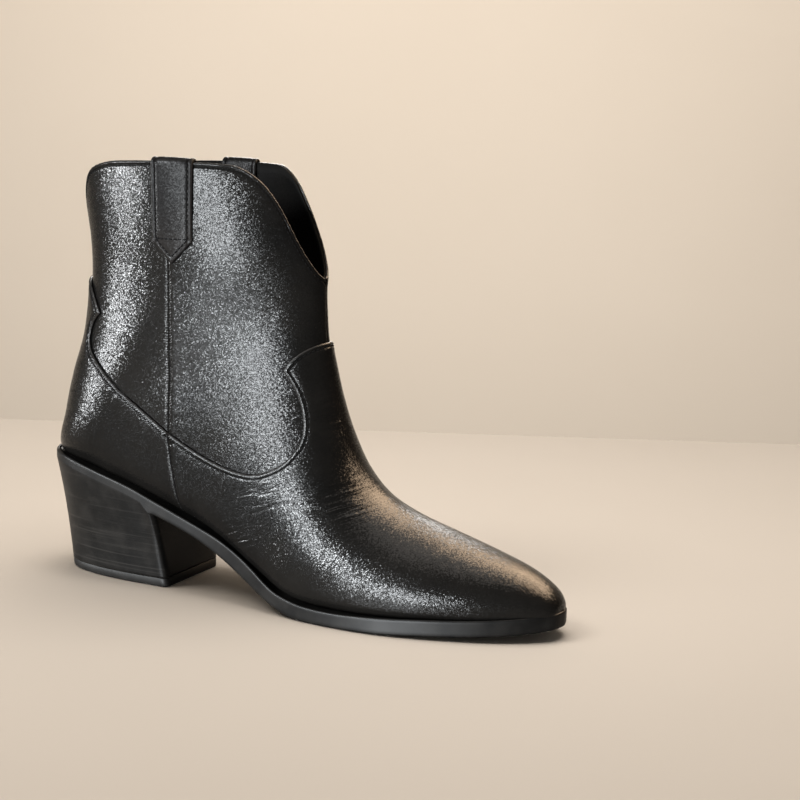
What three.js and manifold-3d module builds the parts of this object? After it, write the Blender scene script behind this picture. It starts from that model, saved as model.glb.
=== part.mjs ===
// Cowboy boot, right foot: pointed toe, stacked-look block heel, scalloped ankle-high shaft with
// two pull straps. Millimetres; +X points to the toe, +Z up, and -Y is the lateral (outer) side.
//
// The boot is graded from one base last. Its upper is a loft of closed sections; each section lies
// in the plane through a front point, on the crest line, and a back point, on the seat or back
// line. Every layer of the upper is that same loft moved inwards by a depth, and every pattern
// piece is a layer cut along an outline that is drawn in side view.
import * as THREE from 'three';
import { mergeVertices } from 'three/addons/utils/BufferGeometryUtils.js';
import Module from 'manifold-3d';

const wasm = await Module();
wasm.setup();

// ---------------------------------------------------------------- driving dimensions
const SOLE_LENGTH = 274; // back of the heel rim to the tip of the toe
const BALL_WIDTH = 82; // widest width of the sole, across the ball
const HEEL_HEIGHT = 55.5; // floor to the underside of the sole, at the back
const SHAFT_HEIGHT = 208; // floor to the topline beside the pull straps

const LEATHER = 1.2; // upper leather
const STIFFENER = 1.2; // toe puff, heel stiffener and vamp backer
const LINING = 1.0; // lining leather
const GAP = 0.3; // glue line between neighbouring pieces

const LASTING_MARGIN = 14; // width of the upper's edge folded under the insole
const SOLE_RIM = 3.2; // the sole's outline lies this far outside the upper's lasted edge
const INSOLE_THICK = 2.0;
const FOAM_THICK = 2.0;
const SOCK_THICK = 0.9;

const SHANK_WIDTH = 14;
const SHANK_THICK = 1.2;
const SHANK_REAR = 54; // distance of the shank's rear end from the back of the sole
const SHANK_FRONT = 148;
const RIVET_RADIUS = 1.5;
const RIVET_HEAD_RADIUS = 2.8;
const RIVET_HEAD_THICK = 0.6;
const RIVET_INSET = 9; // from each end of the shank

const SOLE_CHAMFER = 1.0; // bottom edge of the sole wall
const RIM_ROUND = 0.9; // top edge of the sole's rim
const GROOVE_COUNT = 13;
const GROOVE_WIDTH = 1.2;
const GROOVE_DEPTH = 0.9;
const GROOVE_PITCH = 8.5;
const GROOVE_FIRST = 151; // rearmost groove, from the back of the sole
const GROOVE_MARGIN = 9; // plain border outside the groove ends

const TOP_LIFT_THICK = 4.2;
const TOP_LIFT_BEVEL = 0.6;
const HEEL_BASE_HALF_WIDTH = 24.2;
const HEEL_BASE_BACK = 8; // back of the heel's base, from the back of the sole
const HEEL_BASE_BREAST = 76; // front of the heel's base
const HEEL_TOP_HALF_WIDTH = 32.4;
const HEEL_TOP_BREAST = 71;
const HEEL_FLARE = 0.25; // share of the heel's widening that gathers under the seat
const HEEL_WALL = 3.2;
const HEEL_ROOF = 4; // sole left above the heel's cavity

const NAIL_RADIUS = 1.1;
const NAIL_HEAD_RADIUS = 2.4;
const NAIL_LENGTH = 27;
const NAIL_SPREAD = 9; // sideways from the heel's centre line
const NAIL_ROWS = [29, 50];
const SCREW_RADIUS = 2.1;
const SCREW_HEAD_RADIUS = 4;
const SCREW_LENGTH = 34;
const SCREW_X = 39.5;
const HEAD_THICK = 0.8; // heads of nails and screw
const PIN_RADIUS = 1.3; // the top lift's pins
const PIN_HEAD_RADIUS = 2.3;
const PIN_LENGTH = 14;
const PIN_SINK = 0.8; // pin heads lie this far above the walking face
const PIN_REACH = 18; // pins from the heel's middle, lengthways and sideways
const PIN_SPREAD = 12;
const POINT_SHARE = 0.2; // a nail's point, as a share of its radius

const STRAP_WIDTH = 21;
const STRAP_THICK = 1.5;
const STRAP_X = 82.4; // centre of the strap, from the back of the sole
const STRAP_SHOULDER = 171; // height where the outer leg starts to taper
const STRAP_TIP = 160.5;
const STRAP_INNER_END = 178; // height of the inner leg's end

// ---------------------------------------------------------------- base last
// Sizes of the base last that the tables below are drawn for.
const BASE = { length: 274, ball: 82, heel: 55.5, shaft: 208, ankle: 126 };
const HEEL_SEAT_END = 70; // the heel's rise is whole behind here
const BALL_LINE = 158; // and gone in front of here

// Sections from the toe to above the topline:
// front x, z; back x, z; half widths lateral, medial; place of the widest point between back (0)
// and front (1); roundness of the front and back halves (2 is an ellipse, more is squarer).
const SECTIONS = [
  [273.0, 13.4, 272.8, 11.0, 1.5, 1.5, 0.45, 2.0, 2.2],
  [271.4, 17.8, 271.6, 9.8, 7.6, 7.6, 0.42, 2.0, 2.6],
  [266.0, 23.4, 267.5, 8.7, 13.0, 13.0, 0.38, 2.0, 3.0],
  [254.0, 29.8, 256.0, 7.4, 20.0, 20.0, 0.34, 1.95, 3.4],
  [236.0, 35.8, 238.0, 6.1, 28.0, 27.5, 0.3, 1.9, 3.8],
  [215.0, 42.1, 215.5, 4.9, 34.6, 33.6, 0.27, 1.85, 4.0],
  [196.0, 48.3, 193.0, 4.3, 38.0, 37.0, 0.25, 1.8, 4.0],
  [180.2, 56.6, 170.5, 4.2, 38.8, 37.6, 0.25, 1.8, 4.0],
  [169.4, 69.2, 147.5, 5.9, 37.0, 35.0, 0.26, 1.85, 4.0],
  [162.0, 85.0, 124.0, 17.0, 33.4, 31.2, 0.27, 1.9, 4.0],
  [156.8, 100.2, 98.0, 31.6, 30.8, 29.4, 0.27, 1.95, 4.0],
  [153.2, 113.9, 66.0, 43.5, 30.5, 29.8, 0.26, 2.0, 4.0],
  [150.6, 126.6, 32.0, 53.0, 31.0, 30.6, 0.26, 2.0, 3.6],
  [149.8, 138.4, 4.2, 60.0, 31.6, 31.2, 0.3, 2.0, 2.5],
  [149.2, 149.5, 5.0, 79.5, 31.8, 31.4, 0.34, 1.95, 2.3],
  [148.8, 160.5, 9.0, 100.0, 31.9, 31.5, 0.4, 1.9, 2.2],
  [147.0, 172.5, 14.8, 121.5, 32.3, 31.9, 0.45, 1.85, 2.1],
  [143.6, 184.5, 16.9, 145.0, 33.1, 32.7, 0.48, 1.8, 2.0],
  [139.6, 197.5, 15.4, 168.0, 34.0, 33.6, 0.5, 1.75, 1.95],
  [136.0, 211.0, 12.9, 190.0, 34.9, 34.5, 0.5, 1.7, 1.9],
  [133.4, 226.0, 10.4, 214.0, 35.7, 35.3, 0.5, 1.7, 1.9],
  [131.8, 238.0, 8.8, 234.0, 36.3, 35.9, 0.5, 1.7, 1.9],
];
const FOOT_SECTIONS = 13; // sections that end on the seat line; the rest end on the back line

// Plan of the sole: x and half width, from back to toe.
const PLAN_LATERAL = [
  [0, 0], [1.6, 10], [7, 20], [17, 28.2], [32, 32.6], [55, 33], [80, 31.6], [102, 30.8],
  [122, 32.4], [142, 36.6], [160, 40], [178, 41.4], [196, 40.8], [212, 37.8], [228, 33.2],
  [243, 27.6], [256, 21], [266, 13.8], [272, 7.4], [274, 0],
];
const PLAN_MEDIAL = [
  [0, 0], [1.6, 10], [7, 20], [17, 28], [32, 32], [55, 32], [80, 30], [102, 28.6],
  [122, 29.8], [142, 34], [160, 38.4], [178, 40.6], [196, 39.8], [212, 36.8], [228, 32.4],
  [243, 27], [256, 20.6], [266, 13.6], [272, 7.4], [274, 0],
];
// Side view of the sole: its underside, and the top of its rim.
const UNDERSIDE = [
  [0, 55.5], [20, 51.2], [45, 44.8], [70, 38.6], [90, 31.4], [104, 24.8], [116, 18], [127, 11.2],
  [138, 5.2], [150, 1], [161, 0], [170, 0], [182, 0], [200, 0.3], [220, 1.2], [240, 2.2],
  [257, 3.5], [274, 5.4],
];
const RIM = [
  [0, 62.3], [20, 60.6], [42, 55.2], [60, 49.8], [73, 44.6], [99, 34.2], [110, 29.6], [120, 24.4],
  [129, 18.8], [137, 13.6], [144, 10.2], [155, 7.8], [165, 7], [177, 6.9], [191, 7.5],
  [205, 8.3], [218, 9], [238, 9.9], [257, 11.2], [274, 12.8],
];

// Pattern lines in side view. They meet at the junction below the side seam.
const JUNCTION = [79.5, 78.5];
const TOPLINE = [
  [15.5, 163], [16.4, 176], [18, 190], [25, 201.5], [40, 206.5], [60, 208], [82, 208.4],
  [104, 208.2], [114, 206.8], [124, 200], [132, 189], [138.5, 176.5], [143.5, 166.5], [147, 158],
];
const VAMP_LOBE = [
  JUNCTION, [98, 69.5], [114, 64.4], [127.5, 63.6], [139.5, 69], [146.3, 77], [148, 84],
  [147, 91.5], [144, 100], [140, 107], [135.8, 112.4],
];
const VAMP_CREST = [[135.8, 112.4], [138.6, 117.6], [143.8, 122.3], [150, 125.6], [158, 128]];
const COUNTER_SWEEP = [
  JUNCTION, [64, 89], [52, 97.6], [42, 105.4], [34, 112], [29.5, 117], [28.2, 122.5],
  [31, 128.5], [36.2, 133.4],
];
const COUNTER_CREST = [[36.2, 133.4], [31, 139.6], [25, 145.5], [16, 150], [4, 152]];
const QUARTER_SEAM = [JUNCTION, [82.4, 61], [85.5, 42], [89, 20]];
// Hidden edges: the shaft's hem under the vamp and the counter, and the lining's seam.
const HEM_FRONT = [
  [79.5, 68], [98, 60], [114, 55], [129, 54], [143, 59], [152, 70], [155.5, 84], [154.5, 98],
  [152, 106], [166, 112],
];
const HEM_BACK = [[79.5, 68], [62, 78], [48, 87], [36, 96], [25, 103], [10, 107], [-20, 107]];
const LINING_SEAM = [[168, 134], [147, 122], [128, 98], [112, 70], [102, 40], [98, 10]];
const HEEL_GRIP_EDGE = [[-20, 120], [10, 120], [30, 114], [44, 98], [50, 78], [51, 30]];
const TOE_PUFF_BACK = 222;
const STIFFENER_FRONT = 74;
const BACKER_REAR = 92;
const MIDDLE_REAR = 24; // ends of the filled middle of the bottom
const MIDDLE_FRONT = 244;
const INSOLE_FRONT = 265; // toe end of the insole and the layers on it

const SHOULDER = GAP + LEATHER; // depth of the second layer's outer face
const LINING_DEPTH = SHOULDER + STIFFENER + GAP;
const CAVITY_DEPTH = LINING_DEPTH + LINING;
const INSOLE_DEPTH = CAVITY_DEPTH + GAP;
const FOAM_DEPTH = INSOLE_DEPTH + INSOLE_THICK + GAP;
const SOCK_DEPTH = FOAM_DEPTH + FOAM_THICK + GAP;
const SHANK_DEPTH = INSOLE_DEPTH - GAP - SHANK_THICK;

// ---------------------------------------------------------------- grading
const lerp = (a, b, t) => a + (b - a) * t;
const smooth = (t) => t * t * (3 - 2 * t);
const clamp01 = (t) => Math.min(1, Math.max(0, t));

const gradeX = (x) => (x * SOLE_LENGTH) / BASE.length;
const gradeY = (y) => (y * BALL_WIDTH) / BASE.ball;

// A higher heel lifts everything behind the ball; a taller shaft stretches what is above the ankle.
function gradeZ(x, z) {
  const heelShare = 1 - smooth(clamp01((x - HEEL_SEAT_END) / (BALL_LINE - HEEL_SEAT_END)));
  const heelRise = HEEL_HEIGHT - BASE.heel;
  const stretch = (SHAFT_HEIGHT - heelRise - BASE.ankle) / (BASE.shaft - BASE.ankle);
  return heelRise * heelShare + (z > BASE.ankle ? BASE.ankle + (z - BASE.ankle) * stretch : z);
}
const grade = ([x, z]) => [gradeX(x), gradeZ(x, z)];

// ---------------------------------------------------------------- curves
// Catmull-Rom through rows of numbers; u counts rows.
function spline(rows, u) {
  const last = rows.length - 1;
  const i = Math.min(Math.floor(u), last - 1);
  const t = u - i;
  const before = rows[i - 1] ?? rows[i].map((v, k) => 2 * v - rows[i + 1][k]);
  const after = rows[i + 2] ?? rows[last].map((v, k) => 2 * v - rows[last - 1][k]);
  return rows[i].map((b, k) => {
    const [a, c, d] = [before[k], rows[i + 1][k], after[k]];
    const square = 2 * a - 5 * b + 4 * c - d;
    const cube = 3 * b - a - 3 * c + d;
    return 0.5 * (2 * b + (c - a) * t + square * t * t + cube * t * t * t);
  });
}

function smoothLine(rows, stepsPerRow = 3) {
  const count = (rows.length - 1) * stepsPerRow;
  return Array.from({ length: count + 1 }, (_, i) => spline(rows, i / stepsPerRow));
}

// Value of a graded side or plan line at x.
function lineAt(line, x) {
  const i = Math.max(1, line.findIndex((p) => p[0] >= x));
  const [a, b] = [line[i - 1], line[i]];
  return lerp(a[1], b[1], clamp01((x - a[0]) / (b[0] - a[0])));
}

const planLine = (rows) => smoothLine(rows, 4).map(([x, y]) => [gradeX(x), gradeY(Math.max(0, y))]);
const sideLine = (rows) => smoothLine(rows, 2).map(grade);
const lateralPlan = planLine(PLAN_LATERAL);
const medialPlan = planLine(PLAN_MEDIAL);
const underside = sideLine(UNDERSIDE);
const rim = sideLine(RIM);

const sections = SECTIONS.map(([fx, fz, bx, bz, lateral, medial, ...form]) => [
  ...grade([fx, fz]), ...grade([bx, bz]), gradeY(lateral), gradeY(medial), ...form,
]);
const LAST_SECTION = sections.length - 1;

// ---------------------------------------------------------------- solids
function fromGeometry(geometry) {
  const bare = geometry.index ? geometry.clone() : geometry;
  bare.deleteAttribute('normal');
  bare.deleteAttribute('uv');
  const merged = mergeVertices(bare, 1e-5);
  return new wasm.Manifold(new wasm.Mesh({
    numProp: 3,
    vertProperties: Float32Array.from(merged.attributes.position.array),
    triVerts: Uint32Array.from(merged.index.array),
  }));
}

function toGeometry(solid) {
  const mesh = solid.getMesh();
  const geometry = new THREE.BufferGeometry();
  geometry.setAttribute('position', new THREE.BufferAttribute(mesh.vertProperties, 3));
  geometry.setIndex(new THREE.BufferAttribute(mesh.triVerts, 1));
  return geometry;
}

// Closed solid through rings with the same number of points, in order along an axis; seen with
// the axis pointing at the eye, each ring runs clockwise.
function loft(rings) {
  const around = rings[0].length;
  const points = rings.flat();
  const faces = [];
  for (let i = 0; i + 1 < rings.length; i++) {
    for (let j = 0; j < around; j++) {
      const a = i * around + j;
      const b = i * around + ((j + 1) % around);
      faces.push(a, b + around, b, a, a + around, b + around);
    }
  }
  const cap = (ring, first, flip) => {
    const middle = ring.reduce((sum, p) => sum.map((v, k) => v + p[k] / around), [0, 0, 0]);
    const hub = points.push(middle) - 1;
    for (let j = 0; j < around; j++) {
      const pair = [first + j, first + ((j + 1) % around)];
      faces.push(hub, ...(flip ? pair.reverse() : pair));
    }
  };
  cap(rings[0], 0, false);
  cap(rings.at(-1), (rings.length - 1) * around, true);
  const geometry = new THREE.BufferGeometry();
  geometry.setAttribute('position', new THREE.Float32BufferAttribute(points.flat(), 3));
  geometry.setIndex(faces);
  return fromGeometry(geometry);
}

// Prism over an outline in side view, from y0 to y1.
function sidePrism(outline, y0, y1) {
  const shape = new THREE.Shape(outline.map(([x, z]) => new THREE.Vector2(x, z)));
  const geometry = new THREE.ExtrudeGeometry(shape, { depth: y1 - y0, bevelEnabled: false });
  return fromGeometry(geometry.rotateX(Math.PI / 2).translate(0, y1, 0));
}

// Prism over an outline in plan.
function planPrism(outline, z0, z1) {
  const shape = new THREE.Shape(outline.map(([x, y]) => new THREE.Vector2(x, y)));
  const geometry = new THREE.ExtrudeGeometry(shape, { depth: z1 - z0, bevelEnabled: false });
  return fromGeometry(geometry.translate(0, 0, z0));
}

// ---------------------------------------------------------------- the upper's loft
const AROUND = 20;
const FAR = 400; // beyond the boot in any direction
const spow = (v, power) => Math.sign(v) * Math.abs(v) ** power;

// Outward direction of the front (column 0) or back (column 2) line at a section.
function lineNormal(u, column) {
  const step = 0.5;
  const a = spline(sections, Math.max(0, u - step));
  const b = spline(sections, Math.min(LAST_SECTION, u + step));
  const normal = new THREE.Vector2(b[column + 1] - a[column + 1], a[column] - b[column]).normalize();
  return column === 0 ? normal : normal.negate();
}

// How much of a depth narrows the section, and how much only moves it back, at the pointed toe.
function sideShare(u) {
  const step = 0.5;
  const a = spline(sections, Math.max(0, u - step));
  const b = spline(sections, u + step);
  return u > 5 ? 1 : Math.abs(a[0] - b[0]) / Math.hypot(a[0] - b[0], a[4] - b[4]);
}

// The section at u, moved inwards by a depth: its frame in side view and its half widths.
function sectionAt(u, depth) {
  const [fx, fz, bx, bz, lateral, medial, widest, frontPower, backPower] = spline(sections, u);
  const front = new THREE.Vector2(fx, fz).addScaledVector(lineNormal(u, 0), -depth);
  const back = new THREE.Vector2(bx, bz).addScaledVector(lineNormal(u, 2), -depth);
  const narrow = depth * sideShare(u);
  return {
    front, back, widest, frontPower, backPower,
    lateral: lateral - narrow, medial: medial - narrow,
  };
}

// Point of a section at an angle: 0 on the front line, a quarter turn on the lateral side.
function sectionPoint(section, angle) {
  const { front, back, widest, frontPower, backPower, lateral, medial } = section;
  const [cos, sin] = [Math.cos(angle), Math.sin(angle)];
  const power = 2 / (cos >= 0 ? frontPower : backPower);
  const along = widest + (cos >= 0 ? 1 - widest : widest) * spow(cos, power);
  const side = (sin >= 0 ? lateral : medial) * spow(sin, power);
  return [lerp(back.x, front.x, along), -side, lerp(back.y, front.y, along)];
}

// Rings are closer together at the pointed toe and round the back of the heel seat.
const RING_PLACES = Array.from(sections, (_, u) => u);
RING_PLACES.splice(1, 2, 0.5, 1, 2);
RING_PLACES.splice(RING_PLACES.indexOf(FOOT_SECTIONS), 0, FOOT_SECTIONS - 0.5);

const MIN_SECTION = 0.9; // a section too small for its depth is left out
const MIN_SEAT_STEP = 0.5; // points of a seat line are at least this far apart
const isOpen = (s) => s.lateral > MIN_SECTION && s.front.y - s.back.y > MIN_SECTION;

const tubes = new Map();
// The whole upper as one solid, moved inwards by a depth.
function tube(depth) {
  if (!tubes.has(depth)) {
    const rings = RING_PLACES.map((u) => sectionAt(u, depth)).filter(isOpen).map((section) =>
      Array.from({ length: AROUND }, (_, j) => sectionPoint(section, (j / AROUND) * 2 * Math.PI)));
    tubes.set(depth, loft(rings));
  }
  return tubes.get(depth);
}
const shell = (outer, inner) => tube(outer).subtract(tube(inner));

// The seat line at a depth, from heel to toe; where a deep line doubles back it is left out.
function seatLine(depth) {
  const line = [];
  for (const u of RING_PLACES.filter((place) => place <= FOOT_SECTIONS).reverse()) {
    const { back } = sectionAt(u, depth);
    if (line.length === 0 || back.x > line.at(-1)[0] + MIN_SEAT_STEP) line.push([back.x, back.y]);
  }
  return line;
}
const seatZ = (x, depth) => lineAt(seatLine(depth), x);
// Slope of a line over a short reach to either side of x.
const slopeOf = (heightAt, x, reach) => (heightAt(x + reach) - heightAt(x - reach)) / (2 * reach);

// Everything below the seat line at a depth, behind and in front of the boot too.
function underSeat(depth) {
  const seat = seatLine(depth);
  const outline = [[-FAR, -FAR], [-FAR, seat[0][1]], ...seat, [FAR, seat.at(-1)[1]], [FAR, -FAR]];
  return sidePrism(outline, -FAR, FAR);
}

// Strip between two depths of the seat line, from x0 to x1, across the middle of the boot.
function seatStrip(depth0, depth1, x0, x1, halfWidth) {
  const [low, high] = [depth0, depth1].map((depth) => [
    [x0, seatZ(x0, depth)], ...seatLine(depth).filter(([x]) => x > x0 && x < x1),
    [x1, seatZ(x1, depth)],
  ]);
  return sidePrism([...low, ...high.reverse()], -halfWidth, halfWidth);
}

// ---------------------------------------------------------------- pattern outlines
const HALF_GAP = GAP / 2;
const shift = (line, dx, dz) => line.map(([x, z]) => [x + dx, z + dz]);
const vampEdge = [...sideLine(VAMP_LOBE), ...sideLine(VAMP_CREST).slice(1)];
const counterEdge = [...sideLine(COUNTER_SWEEP), ...sideLine(COUNTER_CREST).slice(1)];
const quarterSeam = sideLine(QUARTER_SEAM);
const sideSeamX = gradeX(JUNCTION[0]);

// The region in front of and below a line that starts at the junction.
function vampRegion() {
  const seam = shift(quarterSeam, HALF_GAP, 0).reverse();
  return sidePrism([...seam, ...vampEdge.slice(1), [FAR, vampEdge.at(-1)[1]], [FAR, -FAR],
    [seam[0][0], -FAR]], -FAR, FAR);
}

function counterRegion() {
  const seam = shift(quarterSeam, -HALF_GAP, 0).reverse();
  return sidePrism([...seam, ...shift(counterEdge, -HALF_GAP, 0).slice(1),
    [-FAR, counterEdge.at(-1)[1]], [-FAR, -FAR], [seam[0][0], -FAR]], -FAR, FAR);
}

// Shaft quarters: between a hem and the topline, in front of or behind the side seam.
const topline = sideLine(TOPLINE);
const belowTopline = sidePrism([[-FAR, -FAR], [-FAR, topline[0][1]], ...topline,
  [FAR, topline.at(-1)[1]], [FAR, -FAR]], -FAR, FAR);
const hemFront = sideLine(HEM_FRONT);
const hemBack = sideLine(HEM_BACK);
const aboveFrontHem = (y0, y1) => sidePrism([...shift(hemFront, HALF_GAP, 0),
  [FAR, hemFront.at(-1)[1]], [FAR, FAR], [sideSeamX + HALF_GAP, FAR]], y0, y1);
const aboveBackHem = (y0, y1) => sidePrism([...shift(hemBack, -HALF_GAP, 0),
  [-FAR, hemBack.at(-1)[1]], [-FAR, FAR], [sideSeamX - HALF_GAP, FAR]], y0, y1);

const LATERAL = [-FAR, -HALF_GAP];
const MEDIAL = [HALF_GAP, FAR];

const liningSeam = sideLine(LINING_SEAM);
const frontOfLiningSeam = sidePrism([...shift(liningSeam, HALF_GAP, 0), [liningSeam.at(-1)[0], -FAR],
  [FAR, -FAR], [FAR, liningSeam[0][1]]], -FAR, FAR);
const behindLiningSeam = ([y0, y1]) => sidePrism([...shift(liningSeam, -HALF_GAP, 0),
  [liningSeam.at(-1)[0], -FAR], [-FAR, -FAR], [-FAR, FAR], [FAR, FAR], [FAR, liningSeam[0][1]]],
y0, y1);
const gripEdge = sideLine(HEEL_GRIP_EDGE);
const heelGripRegion = (grow) => sidePrism([...shift(gripEdge, grow, grow),
  [gripEdge.at(-1)[0] + grow, -FAR], [-FAR, -FAR], [-FAR, gripEdge[0][1] + grow]], -FAR, FAR);

const between = (x0, x1) => sidePrism([[x0, -FAR], [x1, -FAR], [x1, FAR], [x0, FAR]], -FAR, FAR);

// Plan outline of the bottom's middle, inside the lasting margin.
function middlePlan(inset) {
  const steps = 12;
  const margin = LASTING_MARGIN + SOLE_RIM + inset;
  const [rear, front] = [gradeX(MIDDLE_REAR) + inset, gradeX(MIDDLE_FRONT) - inset];
  const xs = Array.from({ length: steps + 1 }, (_, i) => lerp(rear, front, i / steps));
  return [...xs.map((x) => [x, margin - lineAt(lateralPlan, x)]),
    ...xs.reverse().map((x) => [x, lineAt(medialPlan, x) - margin])];
}
const bottomMiddle = (inset, depth) =>
  planPrism(middlePlan(inset), -FAR, FAR).intersect(underSeat(depth));
const bottomHole = bottomMiddle(0, INSOLE_DEPTH + LINING);

// ---------------------------------------------------------------- fasteners
const TURNED_SIDES = 8;

// Turned solid about an upright axis through a point; profile points are [radius, height], from
// bottom to top, and the axis may lean towards the toe.
function turned(profile, x, y, z, lean = 0) {
  const closed = [[0, profile[0][1]], ...profile, [0, profile.at(-1)[1]]];
  const points = closed.map(([r, h]) => new THREE.Vector2(r, h));
  const lathe = new THREE.LatheGeometry(points, TURNED_SIDES).rotateX(Math.PI / 2).rotateY(lean);
  return fromGeometry(lathe.translate(x, y, z));
}

// Nail or screw driven down from z; grow makes the hole it sits in, open above the head.
function driven(radius, headRadius, length, x, y, z, grow = 0) {
  const headroom = grow > 0 ? FOAM_THICK : 0;
  const tipLength = 2 * radius;
  return turned([
    [radius * POINT_SHARE, -length - grow], [radius + grow, tipLength - length - grow],
    [radius + grow, -HEAD_THICK - grow], [headRadius + grow, -HEAD_THICK - grow],
    [headRadius + grow, headroom],
  ], x, y, z);
}

const BOARD_SINK = 0.3; // heads end this far below the insole board's top
const boardTop = (x) => seatZ(x, INSOLE_DEPTH + INSOLE_THICK) - BOARD_SINK;
const nailPlaces = NAIL_ROWS.flatMap((row) =>
  [-NAIL_SPREAD, NAIL_SPREAD].map((y) => [gradeX(row), y]));
const nail = ([x, y], grow) =>
  driven(NAIL_RADIUS, NAIL_HEAD_RADIUS, NAIL_LENGTH, x, y, boardTop(x) - HEAD_THICK, grow);
const heelScrew = (grow) => driven(SCREW_RADIUS, SCREW_HEAD_RADIUS, SCREW_LENGTH,
  gradeX(SCREW_X), 0, boardTop(gradeX(SCREW_X)) - HEAD_THICK, grow);

// Rivet through the shank and the insole board, square to the seat, with a flat head at each end.
function rivet(x, grow = 0) {
  const lowDepth = SHANK_DEPTH - GAP - RIVET_HEAD_THICK - grow;
  const length = INSOLE_DEPTH + INSOLE_THICK - BOARD_SINK - lowDepth;
  const headroom = grow > 0 ? FOAM_THICK : 0;
  const lowHead = RIVET_HEAD_THICK + 2 * grow;
  const highHead = length - RIVET_HEAD_THICK - grow;
  return turned([
    [RIVET_HEAD_RADIUS + grow, 0], [RIVET_HEAD_RADIUS + grow, lowHead],
    [RIVET_RADIUS + grow, lowHead], [RIVET_RADIUS + grow, highHead],
    [RIVET_HEAD_RADIUS + grow, highHead], [RIVET_HEAD_RADIUS + grow, length + headroom],
  ], x, 0, seatZ(x, lowDepth), -Math.atan(slopeOf((at) => seatZ(at, 0), x, RIVET_HEAD_RADIUS)));
}
const rivetPlaces = [gradeX(SHANK_REAR) + RIVET_INSET, gradeX(SHANK_FRONT) - RIVET_INSET];

// Pins that hold the top lift, driven up into the heel's core.
function liftPin([x, y], grow = 0) {
  const headLow = grow > 0 ? -PIN_SINK - HEAD_THICK : 0;
  return turned([
    [PIN_HEAD_RADIUS + grow, headLow], [PIN_HEAD_RADIUS + grow, HEAD_THICK + grow],
    [PIN_RADIUS + grow, HEAD_THICK + grow], [PIN_RADIUS + grow, PIN_LENGTH - 2 * PIN_RADIUS],
    [PIN_RADIUS * POINT_SHARE, PIN_LENGTH + grow],
  ], x, y, PIN_SINK);
}
const heelMiddle = gradeX((HEEL_BASE_BACK + HEEL_BASE_BREAST) / 2);
const pinPlaces = [
  [heelMiddle - PIN_REACH, 0], [heelMiddle + PIN_REACH, -PIN_SPREAD], [heelMiddle + PIN_REACH, PIN_SPREAD],
];

// ---------------------------------------------------------------- heel
const HEEL_POWER = 2.7;
const HEEL_SIDES = 14;
const HEEL_OVERLAP = 2; // the heel's loft runs on into the sole

// The heel's D-shaped section at a height, drawn in by an inset; its flat side is the breast.
function heelRing(z, inset) {
  const t = clamp01(z / gradeZ(0, BASE.heel));
  const flare = t * (1 - HEEL_FLARE + HEEL_FLARE * t);
  const back = gradeX(lerp(HEEL_BASE_BACK, 0, flare)) + inset;
  const breast = gradeX(lerp(HEEL_BASE_BREAST, HEEL_TOP_BREAST, t)) - inset;
  const half = gradeY(lerp(HEEL_BASE_HALF_WIDTH, HEEL_TOP_HALF_WIDTH, flare)) - inset;
  return Array.from({ length: HEEL_SIDES + 1 }, (_, i) => {
    const angle = (i / HEEL_SIDES - 0.5) * Math.PI;
    const x = lerp(breast, back, Math.abs(Math.cos(angle)) ** (2 / HEEL_POWER));
    return [x, half * spow(Math.sin(angle), 2 / HEEL_POWER), z];
  });
}

function heelLoft(z0, z1, inset) {
  const steps = 3;
  return loft(Array.from({ length: steps + 1 }, (_, i) => heelRing(lerp(z0, z1, i / steps), inset)));
}

// Below the sole's underside, lowered by a distance.
const belowSole = (drop) => sidePrism([[-FAR, -FAR], [-FAR, underside[0][1] - drop],
  ...shift(underside, 0, -drop), [FAR, underside.at(-1)[1] - drop], [FAR, -FAR]], -FAR, FAR);
const heelBottom = TOP_LIFT_THICK + GAP;
const heelTop = gradeZ(0, BASE.heel) + HEEL_OVERLAP;

// ---------------------------------------------------------------- sole
const MIN_HALF_WIDTH = 0.4; // at the sole's two ends

function soleRing(x) {
  const lateral = Math.max(MIN_HALF_WIDTH, lineAt(lateralPlan, x));
  const medial = Math.max(MIN_HALF_WIDTH, lineAt(medialPlan, x));
  const [low, high] = [lineAt(underside, x), lineAt(rim, x)];
  const chamfer = Math.min(SOLE_CHAMFER, lateral / 2, medial / 2);
  const round = Math.min(RIM_ROUND, lateral / 2, medial / 2);
  return [
    [x, -lateral, low + chamfer], [x, -lateral, high - round], [x, -lateral + round, high],
    [x, medial - round, high], [x, medial, high - round], [x, medial, low + chamfer],
    [x, medial - chamfer, low], [x, -lateral + chamfer, low],
  ];
}

function soleSlab() {
  const steps = 36;
  const xs = Array.from({ length: steps + 1 }, (_, i) =>
    (gradeX(BASE.length) * (1 - Math.cos((Math.PI * i) / steps))) / 2);
  return loft(xs.map(soleRing));
}

// One straight groove across the tread, square to the underside where it lies.
function groove(index) {
  const x = gradeX(GROOVE_FIRST + index * GROOVE_PITCH);
  const half = Math.min(lineAt(lateralPlan, x), lineAt(medialPlan, x)) - GROOVE_MARGIN;
  const slope = slopeOf((at) => lineAt(underside, at), x, GROOVE_WIDTH);
  const box = new THREE.BoxGeometry(GROOVE_WIDTH, 2 * half, 2 * GROOVE_DEPTH);
  return fromGeometry(box.rotateY(-Math.atan(slope)).translate(x, 0, lineAt(underside, x)));
}

function unitSole() {
  const heel = heelLoft(heelBottom, heelTop, 0).intersect(belowSole(-1));
  const cavity = heelLoft(heelBottom - 1, heelTop, HEEL_WALL).intersect(belowSole(HEEL_ROOF));
  let solid = soleSlab().add(heel).subtract(cavity).subtract(tube(-GAP));
  for (let i = 0; i < GROOVE_COUNT; i++) solid = solid.subtract(groove(i));
  return cutFasteners(solid);
}

const heelFasteners = [...nailPlaces.map((place) => nail(place, GAP)), heelScrew(GAP)];
function cutFasteners(solid) {
  return heelFasteners.reduce((left, hole) => left.subtract(hole), solid);
}

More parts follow.
